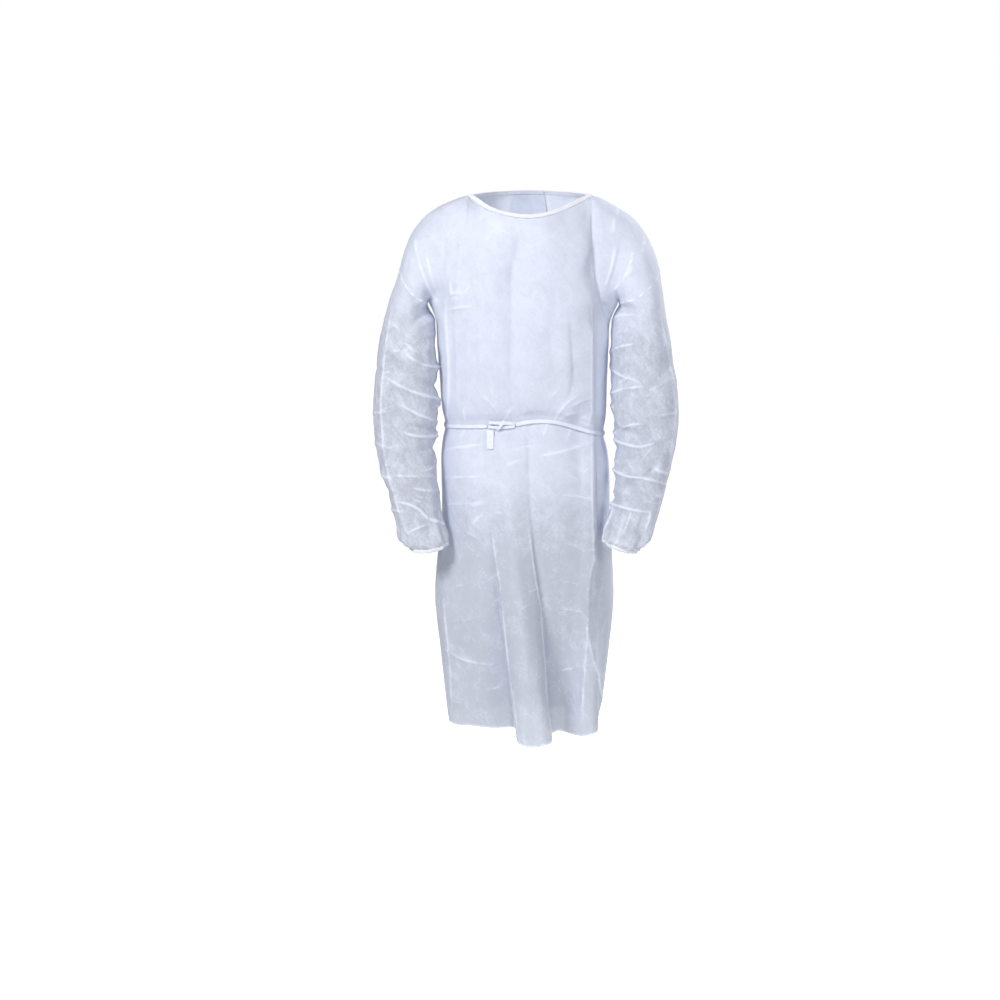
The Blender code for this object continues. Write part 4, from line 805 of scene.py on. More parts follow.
FRONT_CREASES = Table(
    COLUMNS,
    # chest
    (-70, -40, -132, -102, -7, 8, 0.6, -3.2, 0.2, 0.9),
    (-132, -102, -136, -186, 3, 7, 0.7, -2.8, 0.9, 0.1),
    (-128, -204, -152, -208, 1, 4, 1.0, -2.2, 0.2, 0.3),
    (-156, -236, -92, -230, 5, 3.5, 0.7, 1.9, 0.6, 0.1),
    (-150, -178, -148, -204, 1, 3, 1.0, 1.6, 0.2, 0.9),
    (-148, -204, -128, -202, 3, 3, 1.0, 1.7, 0.9, 0.9),
    (-128, -202, -108, -182, -2, 3.5, 1.0, 1.4, 0.9, 0.0),
    (-140, -192, -124, -190, 2, 6, 1.0, -2.4, 0.2, 0.2),
    (-102, -66, -92, -178, 0, 6, 0.6, -1.5, 0.0, 0.8),
    (-92, -178, -84, -406, 2, 6, 0.6, -1.6, 0.8, 0.0),
    (-4, -66, -28, -178, -3, 11, 0.7, -3.0, 0.1, 0.9),
    (-28, -178, -28, -392, 0, 10, 0.7, -2.4, 0.9, 0.0),
    (-16, -146, 10, -250, 0, 8, 0.8, -2.2, 0.1, 0.0),
    (-82, -262, -46, -210, 3, 7, 0.8, -1.6, 0.0, 0.0),
    (90, -242, 98, -354, 0, 7, 0.6, -2.4, 0.1, 0.9),
    (98, -354, 84, -418, 3, 6, 0.6, -2.2, 0.9, 0.0),
    (52, -274, 54, -350, 0, 8, 0.8, -1.3, 0.0, 0.0),
    (32, -120, 40, -300, 4, 14, 1.0, 1.4, 0.0, 0.0),
    (-60, -110, -58, -300, -3, 12, 1.0, 1.3, 0.0, 0.0),
    # above the tape
    (-84, -406, -54, -438, 1, 3.6, 0.6, 2.6, 0.2, 0.9),
    (98, -424, 134, -411, 2, 3.6, 0.6, 2.2, 0.5, 0.3),
    (60, -452, 110, -402, 5, 3.8, 0.6, 2.6, 0.9, 0.1),
    (70, -452, 106, -438, 2, 3.2, 0.7, 2.0, 0.9, 0.1),
    (46, -416, 70, -388, 0, 5, 0.8, 1.1, 0.0, 0.0),
    (-40, -452, -22, -424, 1, 5, 0.8, 1.4, 0.8, 0.0),
    (-120, -454, -124, -428, 0, 5, 0.8, 1.4, 0.9, 0.0),
    (-6, -448, 4, -424, 0, 6, 0.8, 1.3, 0.9, 0.0),
    (128, -462, 134, -436, 0, 5, 0.8, 1.5, 0.9, 0.0),
    # right drape from the shoulder past the armpit, and the cap beside it
    (134, -22, 136, -114, 0, 6, 0.5, -4.0, 0.5, 1.0),
    (136, -114, 156, -226, -2, 6, 0.5, -4.6, 1.0, 1.0),
    (156, -226, 165, -280, 0, 5, 0.6, -3.6, 1.0, 0.2),
    (124, -60, 126, -170, 0, 9, 1.0, 1.8, 0.1, 0.1),
    (180, -98, 162, -182, 4, 4.5, 0.6, 2.6, 0.1, 0.8),
    (216, -110, 180, -192, 9, 4.5, 0.6, 3.2, 0.1, 0.9),
    (222, -140, 198, -168, 2, 3.4, 0.7, 2.2, 0.2, 0.2),
    (194, -90, 172, -176, 3, 6, 0.8, -2.4, 0.0, 0.6),
    (214, -54, 236, -112, 3, 5, 0.7, -2.6, 0.2, 0.0),
    (164, -20, 178, -44, 0, 6, 0.7, -2.2, 0.8, 0.0),
    (188, -28, 174, -84, -2, 6, 0.7, 2.2, 0.7, 0.0),
    (150, -40, 152, -110, 2, 8, 0.8, 1.6, 0.3, 0.0),
    (238, -86, 230, -140, 2, 5, 0.8, 1.8, 0.4, 0.0),
    # the knife edge of the right pleat, and the trough beside it
    (134, -226, 134, -440, 0, 3.0, 0.8, 1.9, 0.3, 1.0),
    (134, -474, 135, -652, 0, 3.0, 0.8, 2.2, 1.0, 1.0),
    (135, -652, 138, -734, 0, 3.0, 0.8, 2.2, 1.0, 1.0),
    (138, -734, 126, -794, -2, 3.0, 0.8, 2.2, 1.0, 1.0),
    (126, -794, 126, -854, 0, 3.0, 0.8, 2.2, 1.0, 1.0),
    (126, -854, 114, -1050, 0, 3.0, 0.8, 2.2, 1.0, 0.7),
    (146, -480, 147, -790, 0, 7, 1.0, -2.6, 0.2, 0.8),
    (146, -250, 146, -430, 0, 7, 1.0, -2.2, 0.2, 0.2),
    # left drape and cap
    (-166, -30, -162, -66, 2, 6, 1.8, -3.4, 0.4, 1.0),
    (-162, -66, -176, -218, 3, 6, 1.8, -4.2, 1.0, 0.9),
    (-176, -40, -188, -158, -2, 9, 1.0, 2.0, 0.2, 0.1),
    (-220, -84, -206, -154, -3, 4.4, 1.6, 2.8, 0.1, 1.0),
    (-206, -154, -176, -218, -2, 4.4, 1.6, 3.0, 1.0, 0.6),
    (-229, -92, -192, -198, -5, 5.5, 1.2, -2.4, 0.1, 0.3),
    (-204, -60, -180, -112, 0, 6, 1.2, -1.6, 0.1, 0.0),
    (-198, -110, -180, -190, -2, 4, 1.2, 1.8, 0.1, 0.3),
    (-186, -24, -204, -62, -2, 7, 1.0, 1.5, 0.6, 0.0),
    # the strip along the left side
    (-158, -214, -154, -452, 3, 4, 1.5, 2.4, 0.5, 0.6),
    (-149, -224, -149, -440, 2, 7, 0.8, -3.4, 0.4, 0.1),
    # below the tape
    (-160, -514, -76, -502, 1, 3.6, 1.6, 2.2, 0.3, 0.1),
    (22, -527, 130, -499, -3, 4, 1.6, 2.6, 0.1, 0.6),
    (26, -518, 128, -491, -3, 5, 1.0, -1.6, 0.0, 0.3),
    (-26, -515, 24, -504, 1, 4, 1.4, 1.3, 0.0, 0.0),
    (-162, -569, -80, -567, 0, 3.2, 1.4, 1.6, 0.5, 0.1),
    (-76, -567, -28, -587, -1, 4.5, 0.8, -1.9, 0.1, 0.0),
    (-140, -580, -80, -599, 0, 5, 0.8, -1.3, 0.0, 0.0),
    (16, -547, 96, -569, 1, 5, 0.8, -1.4, 0.0, 0.0),
    (68, -603, 134, -612, 1, 3.6, 1.3, 1.6, 0.0, 0.6),
    (-160, -622, -70, -617, -2, 4, 1.3, 1.4, 0.5, 0.0),
    (-64, -474, -48, -514, 0, 4.5, 0.8, -2.2, 0.9, 0.0),
    (-88, -474, -94, -508, 0, 5, 0.8, -1.4, 0.9, 0.0),
    (-118, -466, -130, -496, 0, 5, 0.9, 1.3, 0.9, 0.0),
    (46, -454, 36, -490, 0, 6, 0.9, 1.4, 0.9, 0.0),
    (92, -468, 84, -496, 0, 5, 0.9, 1.5, 0.9, 0.0),
    (8, -458, 14, -654, -3, 11, 0.5, -3.4, 0.7, 0.5),
    # skirt
    (4, -640, 30, -832, -2, 5, 1.6, 2.8, 0.2, 1.0),
    (30, -832, 51, -1090, -1, 5, 1.6, 3.0, 1.0, 1.0),
    (-66, -676, -48, -794, 0, 4, 0.6, 2.2, 0.1, 1.0),
    (-48, -794, -10, -1100, -2, 4, 0.6, 3.0, 1.0, 1.0),
    (-164, -800, -152, -914, 0, 6, 1.2, 2.6, 0.1, 0.9),
    (-152, -914, -145, -1030, 0, 6, 1.2, 2.4, 0.9, 0.5),
    (-157, -912, -100, -938, -5, 3.8, 1.4, 2.4, 0.6, 0.9),
    (-100, -938, -54, -943, -2, 3.6, 1.4, 1.8, 0.9, 0.0),
    (-122, -675, -84, -695, 0, 4.5, 1.2, 1.9, 0.0, 0.0),
    (-16, -839, 26, -817, 2, 3.2, 1.2, 1.3, 0.0, 0.0),
    (-32, -857, 20, -850, 2, 3.2, 1.2, 1.3, 0.0, 0.0),
    (64, -832, 120, -839, 1, 3.2, 1.2, 1.7, 0.0, 0.7),
    (120, -852, 144, -962, -2, 4.4, 1.3, 2.8, 0.2, 1.0),
    (144, -962, 156, -1020, -1, 4.4, 1.3, 2.6, 1.0, 0.7),
    (-39, -1018, -23, -1040, 0, 3.4, 1.2, 1.7, 0.0, 0.2),
    (-112, -720, -104, -1070, 3, 15, 1.0, 1.8, 0.0, 0.8),
    (68, -720, 80, -1080, 2, 16, 0.8, -3.4, 0.0, 0.9),
    (106, -640, 102, -820, 0, 12, 0.8, 1.6, 0.0, 0.0),
    (-140, -730, -118, -780, -2, 6, 1.0, -1.3, 0.0, 0.0),
    (84, -700, 122, -716, 1, 5, 1.0, 1.2, 0.0, 0.2),
    (20, -900, 44, -890, 1, 4, 1.0, -1.1, 0.0, 0.0),
    (64, -960, 112, -948, 2, 5, 1.0, 1.2, 0.0, 0.0),
    (-134, -860, -84, -846, 1, 5, 1.0, 1.1, 0.0, 0.0),
)

BACK_CREASES = Table(
    COLUMNS,
    (-140, -40, -160, -200, -4, 6, 0.7, -3.6, 0.4, 0.9),
    (144, -40, 162, -200, 4, 6, 1.4, -3.6, 0.4, 0.9),
    (-216, -80, -178, -206, 6, 5, 0.7, 2.6, 0.1, 0.9),
    (218, -80, 180, -206, -6, 5, 1.4, 2.8, 0.1, 0.9),
    (-192, -60, -172, -160, 3, 6, 1.0, -2.0, 0.1, 0.2),
    (196, -54, 170, -166, -3, 6, 1.0, -2.2, 0.1, 0.2),
    (-110, -100, -96, -330, 5, 11, 0.8, -2.6, 0.0, 0.1),
    (112, -110, 100, -350, -5, 11, 1.2, -2.8, 0.0, 0.1),
    (-60, -60, -52, -260, 0, 13, 1.0, 1.8, 0.0, 0.0),
    (66, -80, 58, -290, 0, 13, 1.0, 2.0, 0.0, 0.0),
    (-20, -150, -30, -380, 3, 9, 0.8, -1.8, 0.0, 0.0),
    (26, -180, 22, -410, -2, 9, 0.8, -1.8, 0.0, 0.0),
    (-156, -240, -150, -450, 2, 5, 0.8, -2.8, 0.3, 0.7),
    (158, -230, 151, -450, -2, 5, 1.2, -2.8, 0.3, 0.7),
    (-130, -404, -92, -446, 3, 4, 0.7, 2.6, 0.1, 0.9),
    (-104, -410, -60, -450, 3, 4, 0.7, 2.2, 0.1, 0.9),
    (-30, -410, -38, -450, 0, 5, 0.8, 1.8, 0.0, 0.9),
    (38, -404, 62, -448, 2, 4.5, 0.8, 2.2, 0.1, 0.9),
    (128, -400, 96, -450, -3, 4, 1.3, 2.6, 0.1, 0.9),
    (146, -420, 124, -456, -2, 4, 1.3, 2.0, 0.1, 0.9),
    (-134, -462, -140, -520, 0, 6, 0.8, 2.4, 0.9, 0.0),
    (-84, -462, -92, -540, 0, 7, 0.8, 2.6, 0.9, 0.0),
    (-46, -460, -44, -510, 0, 6, 0.8, 2.0, 0.9, 0.0),
    (18, -464, 26, -530, 0, 7, 0.8, -2.4, 0.9, 0.0),
    (70, -466, 80, -550, 0, 7, 0.8, 2.6, 0.9, 0.0),
    (118, -468, 128, -530, 0, 6, 0.8, 2.2, 0.9, 0.0),
    (-150, -500, -70, -512, 3, 5, 1.2, 1.8, 0.3, 0.0),
    (40, -508, 140, -496, 3, 5, 1.2, 1.8, 0.0, 0.4),
    (-120, -570, -40, -562, 2, 4, 1.2, 1.5, 0.0, 0.0),
    (54, -590, 140, -604, 2, 4, 1.2, 1.6, 0.0, 0.3),
    (-104, -520, -114, -1070, 4, 14, 0.7, 4.0, 0.0, 1.0),
    (-58, -640, -66, -1070, 3, 12, 0.8, -4.2, 0.0, 1.0),
    (36, -620, 48, -1070, -3, 13, 0.8, -4.4, 0.0, 1.0),
    (108, -520, 120, -1070, -4, 14, 1.3, 4.4, 0.0, 1.0),
    (-150, -620, -146, -1070, 3, 7, 0.8, 2.6, 0.0, 0.8),
    (146, -640, 142, -1070, -3, 7, 0.8, 2.6, 0.0, 0.8),
    (-128, -760, -70, -788, -4, 4.5, 1.2, 2.0, 0.1, 0.1),
    (60, -846, 130, -822, 4, 4.5, 1.2, 2.0, 0.0, 0.2),
    (-120, -930, -60, -918, 3, 4, 1.2, 1.6, 0.0, 0.0),
    (8, -742, 64, -760, 2, 4, 1.2, 1.4, 0.0, 0.0),
)

LEFT_SLEEVE_CREASES = Table(
    COLUMNS,
    (-266, -226, -288, -414, -3, 2.8, 1.0, 1.7, 0.3, 1.0),
    (-288, -414, -276, -544, -4, 2.8, 1.0, 1.7, 1.0, 1.0),
    (-276, -544, -238, -676, -2, 2.8, 1.0, 1.7, 1.0, 0.5),
    (-172, -348, -246, -304, 14, 7, 0.6, 3.6, 1.0, 0.0),
    (-176, -384, -262, -338, 10, 8, 0.8, -3.4, 1.0, 0.0),
    (-170, -414, -282, -366, 6, 7, 0.6, 3.4, 1.0, 0.1),
    (-170, -431, -230, -394, 5, 5, 0.8, -3.0, 1.0, 0.0),
    (-168, -458, -262, -412, 6, 7, 0.7, 2.8, 1.0, 0.0),
    (-172, -472, -248, -458, 5, 5.5, 0.9, -3.4, 1.0, 0.0),
    (-171, -484, -252, -474, 8, 4.4, 0.6, 4.0, 1.0, 0.1),
    (-176, -506, -242, -516, 4, 8, 0.9, -2.6, 0.9, 0.0),
    (-274, -566, -174, -568, 1, 3.4, 1.2, 2.0, 0.5, 0.6),
    (-268, -540, -190, -548, 2, 8, 1.0, -1.6, 0.2, 0.1),
    (-258, -618, -196, -652, 9, 4.4, 1.4, 3.8, 0.3, 1.0),
    (-196, -652, -166, -662, 1, 4.4, 1.4, 3.4, 1.0, 0.7),
    (-252, -602, -178, -640, 8, 6.5, 0.9, -3.2, 0.1, 0.8),
    (-178, -596, -232, -588, 2, 6, 0.9, 1.8, 0.7, 0.0),
    (-234, -680, -190, -663, 2, 3.4, 0.9, 2.4, 0.6, 0.1),
    (-176, -224, -228, -266, -4, 8, 0.9, -2.8, 0.9, 0.0),
    (-178, -250, -244, -300, -6, 8, 0.8, 2.6, 0.9, 0.0),
    (-178, -290, -232, -318, -4, 7, 0.9, -2.0, 0.8, 0.0),
    (-232, -230, -262, -330, -4, 9, 1.0, -1.8, 0.1, 0.0),
    (-296, -500, -262, -512, -2, 5, 1.0, 1.8, 0.9, 0.0),
    (-290, -560, -258, -574, -2, 5, 1.0, 2.0, 0.9, 0.0),
    (-280, -592, -250, -606, -2, 4.5, 1.0, -2.0, 0.9, 0.0),
    (-268, -632, -238, -640, 0, 5, 1.0, 2.2, 0.9, 0.0),
    (-302, -440, -268, -436, 0, 6, 1.0, 1.6, 0.9, 0.0),
    (-298, -350, -272, -362, 0, 6, 1.0, -1.4, 0.9, 0.0),
)

RIGHT_SLEEVE_CREASES = Table(
    COLUMNS,
    (170, -488, 226, -508, -3, 4.6, 1.4, 3.6, 1.0, 1.0),
    (226, -508, 264, -497, -2, 4.6, 1.4, 3.2, 1.0, 0.0),
    (174, -470, 246, -486, -2, 6, 0.9, -2.8, 0.9, 0.0),
    (188, -537, 248, -531, 2, 6, 0.9, -3.0, 0.4, 0.1),
    (172, -546, 214, -568, -4, 4.4, 1.5, 4.4, 1.0, 1.0),
    (214, -568, 276, -582, 3, 4.4, 1.5, 4.0, 1.0, 0.4),
    (186, -584, 260, -600, 2, 7, 0.9, -2.8, 0.5, 0.1),
    (232, -576, 270, -524, -6, 7, 0.8, -3.0, 0.7, 0.1),
    (166, -617, 246, -638, -4, 4.4, 1.5, 4.4, 1.0, 0.3),
    (170, -604, 252, -620, -3, 6, 0.9, -3.4, 0.8, 0.1),
    (180, -630, 158, -676, 2, 4.5, 0.9, 3.0, 0.9, 0.4),
    (194, -638, 172, -684, 2, 4, 0.9, -2.6, 0.8, 0.3),
    (212, -640, 194, -686, 2, 4.5, 0.9, 2.6, 0.6, 0.3),
    (236, -642, 222, -684, 2, 4.5, 0.9, -2.2, 0.4, 0.2),
    (252, -634, 238, -680, 2, 4.5, 0.9, 2.0, 0.3, 0.2),
    (174, -400, 248, -388, 4, 7, 0.8, 2.6, 0.9, 0.0),
    (172, -420, 240, -424, 3, 7, 0.9, -2.6, 0.9, 0.0),
    (188, -474, 248, -465, 7, 5.5, 0.8, 2.8, 0.5, 0.0),
    (170, -446, 230, -440, 3, 6, 0.9, -2.2, 0.9, 0.0),
    (292, -344, 256, -376, 3, 5.5, 0.9, -1.6, 0.9, 0.0),
    (296, -372, 244, -402, -3, 4, 0.9, 1.7, 0.9, 0.0),
    (164, -330, 188, -388, -3, 6, 0.9, -2.8, 0.8, 0.0),
    (168, -350, 226, -376, -3, 7, 0.9, 2.4, 0.8, 0.0),
    (162, -272, 204, -240, 3, 5.5, 0.9, 2.4, 0.8, 0.1),
    (168, -296, 232, -262, 4, 8, 0.9, -2.6, 0.8, 0.0),
    (170, -318, 236, -300, 4, 7, 0.9, 2.0, 0.8, 0.0),
    (262, -210, 280, -330, 3, 9, 1.0, -2.0, 0.0, 0.0),
    (300, -440, 262, -446, 0, 6, 1.0, 1.8, 0.9, 0.0),
    (296, -492, 262, -510, 0, 5, 1.0, -1.9, 0.9, 0.0),
    (282, -560, 256, -552, 0, 5, 1.0, 1.8, 0.9, 0.0),
    (270, -606, 246, -614, 0, 5, 1.0, 2.0, 0.9, 0.0),
    (272, -240, 300, -420, 2, 2.8, 1.0, 1.4, 0.2, 1.0),
    (300, -420, 284, -570, 3, 2.8, 1.0, 1.4, 1.0, 0.3),
)

SLEEVE_BACK_CREASES = Table(
    COLUMNS,
    (174, -300, 236, -262, 4, 8, 0.9, -2.8, 0.9, 0.0),
    (176, -340, 244, -306, 6, 8, 0.7, 3.0, 0.9, 0.0),
    (174, -380, 262, -340, 8, 8, 0.9, -3.0, 0.9, 0.0),
    (172, -418, 280, -372, 8, 7, 0.7, 3.4, 0.9, 0.1),
    (174, -446, 250, -414, 6, 6, 0.9, -3.0, 0.9, 0.0),
    (176, -470, 272, -452, 5, 5, 0.7, 3.6, 1.0, 0.1),
    (178, -500, 250, -500, 3, 7, 0.9, -2.8, 0.9, 0.0),
    (180, -524, 268, -534, -3, 5, 1.3, 3.0, 0.9, 0.1),
    (178, -560, 250, -580, -4, 7, 0.9, -2.8, 0.8, 0.0),
    (176, -586, 262, -604, -4, 4.5, 1.3, 3.2, 0.9, 0.1),
    (172, -620, 240, -646, -3, 6, 0.9, -2.8, 0.8, 0.1),
    (262, -620, 196, -668, -4, 4.5, 0.8, 2.8, 0.3, 0.6),
    (288, -330, 258, -380, 2, 7, 1.0, -2.0, 0.5, 0.0),
    (296, -450, 250, -470, 0, 7, 1.0, 2.0, 0.7, 0.0),
    (284, -540, 246, -556, 0, 6, 1.0, 2.2, 0.7, 0.0),
    (226, -230, 252, -330, 2, 10, 1.0, 2.0, 0.0, 0.0),
)


SLEEVE_CREASES = {"sleeve_left": LEFT_SLEEVE_CREASES, "sleeve_right": RIGHT_SLEEVE_CREASES}

FRONT, BACK = -1, 1  # which way a face of the gown looks along Y
FACING = (-0.45, 0.05)  # how far a point may turn from that way before its creases fade out
CREASE_SAMPLES = 14
CREASE_REACH = 3.2  # half widths round a crease past which it no longer counts
SHARP_UNDER, HIGHLIGHT_UNDER = 8.0, 7.5  # ridges narrower than these have a sharp crest, and a painted highlight along it
HIGHLIGHT_HALF = 1.7  # half the width of the painted highlight along a crest
START_ENDS, END_STARTS = 0.35, 0.6  # shares of a crease's run


def bowed(a, b, bend):
    """Points along a crease from a to b, bowed to the left of its run."""
    run = b - a
    left = np.array([-run[1], run[0]]) / np.linalg.norm(run)
    t = np.linspace(0, 1, CREASE_SAMPLES)[:, None]
    return a + run * t + left * bend * 4 * t * (1 - t)


def nearest(line, places):
    """Each place's distance from a line, the share of the line passed there, and its side, 1 on the left."""
    best = np.full(len(places), np.inf)
    share, side = np.zeros(len(places)), np.ones(len(places))
    for k, (start, end) in enumerate(zip(line, line[1:])):
        part = end - start
        along = np.clip((places - start) @ part / (part @ part), 0, 1)
        off = places - start - along[:, None] * part
        away = np.hypot(off[:, 0], off[:, 1])
        closer = away < best
        best = np.where(closer, away, best)
        share = np.where(closer, (k + along) / (len(line) - 1), share)
        side = np.where(closer, np.sign(part[0] * off[:, 1] - part[1] * off[:, 0]), side)
    return best, share, side


def press(points, normals, table, view, face, gains):
    """How far a table's creases push each point out, and a painted highlight along their narrow crests.

    The gains are those of the ridges and of the troughs.
    """
    places = view(points) / MM
    weight = soft(*FACING, normals[..., 1] * face)
    height, crest_highlight = np.zeros(weight.shape), np.zeros(weight.shape)
    for x0, z0, x1, z1, bend, wide, steep, out, start, end in table.values:
        a, b = np.array([x0, z0]), np.array([x1, z1])
        reach = CREASE_REACH * wide * max(1.0, steep) + abs(bend)
        near = (places > np.minimum(a, b) - reach) & (places < np.maximum(a, b) + reach)
        near = near.all(axis=-1) & (weight > 0)
        if not near.any():
            continue
        away, share, side = nearest(bowed(a, b, bend), places[near])
        half = np.where(side > 0, wide, wide * steep)
        if out > 0 and wide < SHARP_UNDER:
            shape = np.exp(-1.3 * np.sqrt((away / half) ** 2 + 0.03))
        else:
            shape = np.exp(-(((away / half) ** 2 + 0.02) ** 0.75))
        level = start + (1 - start) * soft(0, START_ENDS, share)
        level = np.where(share > END_STARTS, 1 + (end - 1) * soft(END_STARTS, 1.0, share), level)
        height[near] += out * shape * level * gains[0 if out > 0 else 1]
        # a painted highlight along the crest of each narrow ridge
        if out > 0 and wide < HIGHLIGHT_UNDER:
            crest_highlight[near] += out * np.exp(-((away / HIGHLIGHT_HALF) ** 2)) * level
    return height * weight * MM, crest_highlight * weight


# Where short faint creases lie, and what they are like, in millimetres; their slant is in radians.
SMALL_AREAS = (
    ("sleeve", (170, -680), (300, -230)),
    ("front", (-160, -700), (140, -420)),
    ("front", (-160, -1060), (150, -700)),
    ("back", (20, -700), (160, -360)),
    ("back", (20, -1060), (160, -700)),
    ("back", (60, -300), (230, -60)),
)
SMALL_COUNT = 26
SMALL = {
    "slant": (-0.9, 0.9),
    "length": (16, 46),
    "out": (-1.3, 1.0, 1.4),
    "gain": (0.6, 1.2),
    "bend": (-3, 3),
    "wide": (2.4, 5),
    "steep": 1.2,
}


def small_creases(seed, low, high):
    """Short faint creases strewn over an area, at every slant."""
    draw = np.random.default_rng([ord(letter) for letter in seed])
    rows = []
    for _ in range(SMALL_COUNT):
        x, z = draw.uniform(low, high)
        slant, length = draw.uniform(*SMALL["slant"]), draw.uniform(*SMALL["length"])
        out = draw.choice(SMALL["out"]) * draw.uniform(*SMALL["gain"])
        bend, wide = draw.uniform(*SMALL["bend"]), draw.uniform(*SMALL["wide"])
        end = (x + math.cos(slant) * length, z + math.sin(slant) * length)
        rows.append((x, z, *end, bend, wide, SMALL["steep"], out, 0.0, 0.0))
    return Table(COLUMNS, *rows)


def ripples(points, seed, count, low, high, size):
    """Small uneven swells of the cloth, from waves of lengths from low to high that run every way."""
    draw = np.random.default_rng(seed)
    total = np.zeros(points.shape[:-1])
    for _ in range(count):
        way = draw.normal(size=3)
        way /= np.linalg.norm(way)
        length = draw.uniform(low, high)
        total += np.sin((points @ way) * 2 * math.pi / length + draw.uniform(0, 2 * math.pi)) * length / high
    return total * size / math.sqrt(count)


# ------------------------------------------------------------------ materials
FIBRES = {"Detail": 5.0, "Roughness": 0.66, "Distortion": 0.5}
STREAKS = ((52, 4.2, 330.0), (-38, 4.6, 300.0))  # slant in degrees, stretch and scale
CLOUDS = (-24, 1.4, 46.0)
CLOUD_SHARE = 0.45
WEB_MEAN = 0.56
WEB_TONES = (0.40, 0.66)  # the web's densities that have the dark and the pale colour
WEB_CLEAR = (0.36, 0.66)  # those that let most and least be seen through
CLEAR_SHARES = (1.9, 0.25)
FULL_HIGHLIGHT = 5.0  # the lift, in millimetres, at which a crest's painted highlight is full
BUMP_DEPTH = 0.0006
CLOTH_SURFACE = {"Roughness": 0.78, "Specular IOR Level": 0.25, "Sheen Weight": 0.12, "Sheen Roughness": 0.45}


def add(tree, kind, inputs, **settings):
    """A new node: its settings, then its inputs by name or number, each a value or another node's output."""
    node = tree.nodes.new(kind)
    for name, value in settings.items():
        setattr(node, name, value)
    for name, value in inputs.items():
        if isinstance(value, bpy.types.NodeSocket):
            tree.links.new(value, node.inputs[name])
        else:
            node.inputs[name].default_value = value
    return node


def math_node(tree, operation, a, b):
    return add(tree, "ShaderNodeMath", {0: a, 1: b}, operation=operation).outputs["Value"]


def spread(tree, value, before, after):
    """A value carried from one range to another, each a pair of ends, and held between them."""
    ranges = {"From Min": before[0], "From Max": before[1], "To Min": after[0], "To Max": after[1]}
    return add(tree, "ShaderNodeMapRange", {"Value": value, **ranges}).outputs["Result"]


def blend(tree, factor, one, other):
    return add(tree, "ShaderNodeMixShader", {0: factor, 1: one, 2: other}).outputs["Shader"]


def fibres(tree, turn, stretch, scale):
    """Streaks of fibre along one slant, from 0 to 1."""
    place = add(tree, "ShaderNodeTexCoord", {}).outputs["Object"]
    turned = (0.0, math.radians(turn), math.radians(0.3 * turn))
    slant = {"Vector": place, "Rotation": turned, "Scale": (1.0, 1.0, stretch)}
    mapping = add(tree, "ShaderNodeMapping", slant, vector_type="TEXTURE")
    noise = {"Vector": mapping.outputs["Vector"], "Scale": scale, **FIBRES}
    return add(tree, "ShaderNodeTexNoise", noise).outputs["Fac"]


def cloth_material(
    name, colour, dark, clear, glow, bump, crest=0.0, calm=1.0, painted_shade_depth=0.0, shaded_mottle_heights=None, thin=None
):
    """Thin nonwoven: cloudy fibres, light that passes, and a little of what lies behind.

    Lower down the web is darker and more shows through it, and its mottle is stronger: painted shade towards
    the bottom. Crests get a painted highlight from the lift attribute.
    """
    material = bpy.data.materials.new(name)
    material.use_nodes = True
    tree = material.node_tree
    streaks = math_node(tree, "MAXIMUM", *(fibres(tree, *streak) for streak in STREAKS))
    web = {"Factor": CLOUD_SHARE, "A": streaks, "B": fibres(tree, *CLOUDS)}
    web = add(tree, "ShaderNodeMix", web, data_type="FLOAT").outputs["Result"]
    place = add(tree, "ShaderNodeTexCoord", {}).outputs["Object"]
    height = add(tree, "ShaderNodeSeparateXYZ", {"Vector": place}).outputs["Z"]
    off = math_node(tree, "SUBTRACT", web, WEB_MEAN)
    # painted shade: lower down the mottle is stronger, and the web darker and more seen through
    if shaded_mottle_heights is not None:
        off = math_node(tree, "MULTIPLY", off, spread(tree, height, shaded_mottle_heights, (1.0, calm)))
    mean = WEB_MEAN if thin is None else spread(tree, height, thin, (WEB_MEAN - painted_shade_depth, WEB_MEAN))
    # painted highlight: the lift attribute whitens crests, gathers and hems, and the doubled strip by the
    # pleat
    lift = add(tree, "ShaderNodeAttribute", {}, attribute_name="lift").outputs["Fac"]
    painted_highlight = spread(tree, lift, (0.0, FULL_HIGHLIGHT), (0.0, crest))
    web = math_node(tree, "ADD", math_node(tree, "ADD", off, mean), painted_highlight)
    tone = {"Factor": spread(tree, web, WEB_TONES, (0.0, 1.0)), 6: (*dark, 1.0), 7: (*colour, 1.0)}
    tone = add(tree, "ShaderNodeMix", tone, data_type="RGBA").outputs[2]
    raised = {"Height": web, "Strength": bump, "Distance": BUMP_DEPTH}
    raised = add(tree, "ShaderNodeBump", raised).outputs["Normal"]
    shader = tree.nodes["Principled BSDF"]
    tree.links.new(tone, shader.inputs["Base Color"])
    tree.links.new(raised, shader.inputs["Normal"])
    for setting, value in CLOTH_SURFACE.items():
        shader.inputs[setting].default_value = value
    passing = {"Color": (*colour, 1.0), "Normal": raised}
    passing = add(tree, "ShaderNodeBsdfTranslucent", passing).outputs["BSDF"]
    lit = blend(tree, glow, shader.outputs["BSDF"], passing)
    behind = add(tree, "ShaderNodeBsdfTransparent", {"Color": (1.0, 1.0, 1.0, 1.0)}).outputs["BSDF"]
    seen_through = spread(tree, web, WEB_CLEAR, tuple(clear * share for share in CLEAR_SHARES))
    tree.links.new(blend(tree, seen_through, lit, behind), tree.nodes["Material Output"].inputs["Surface"])
    return material
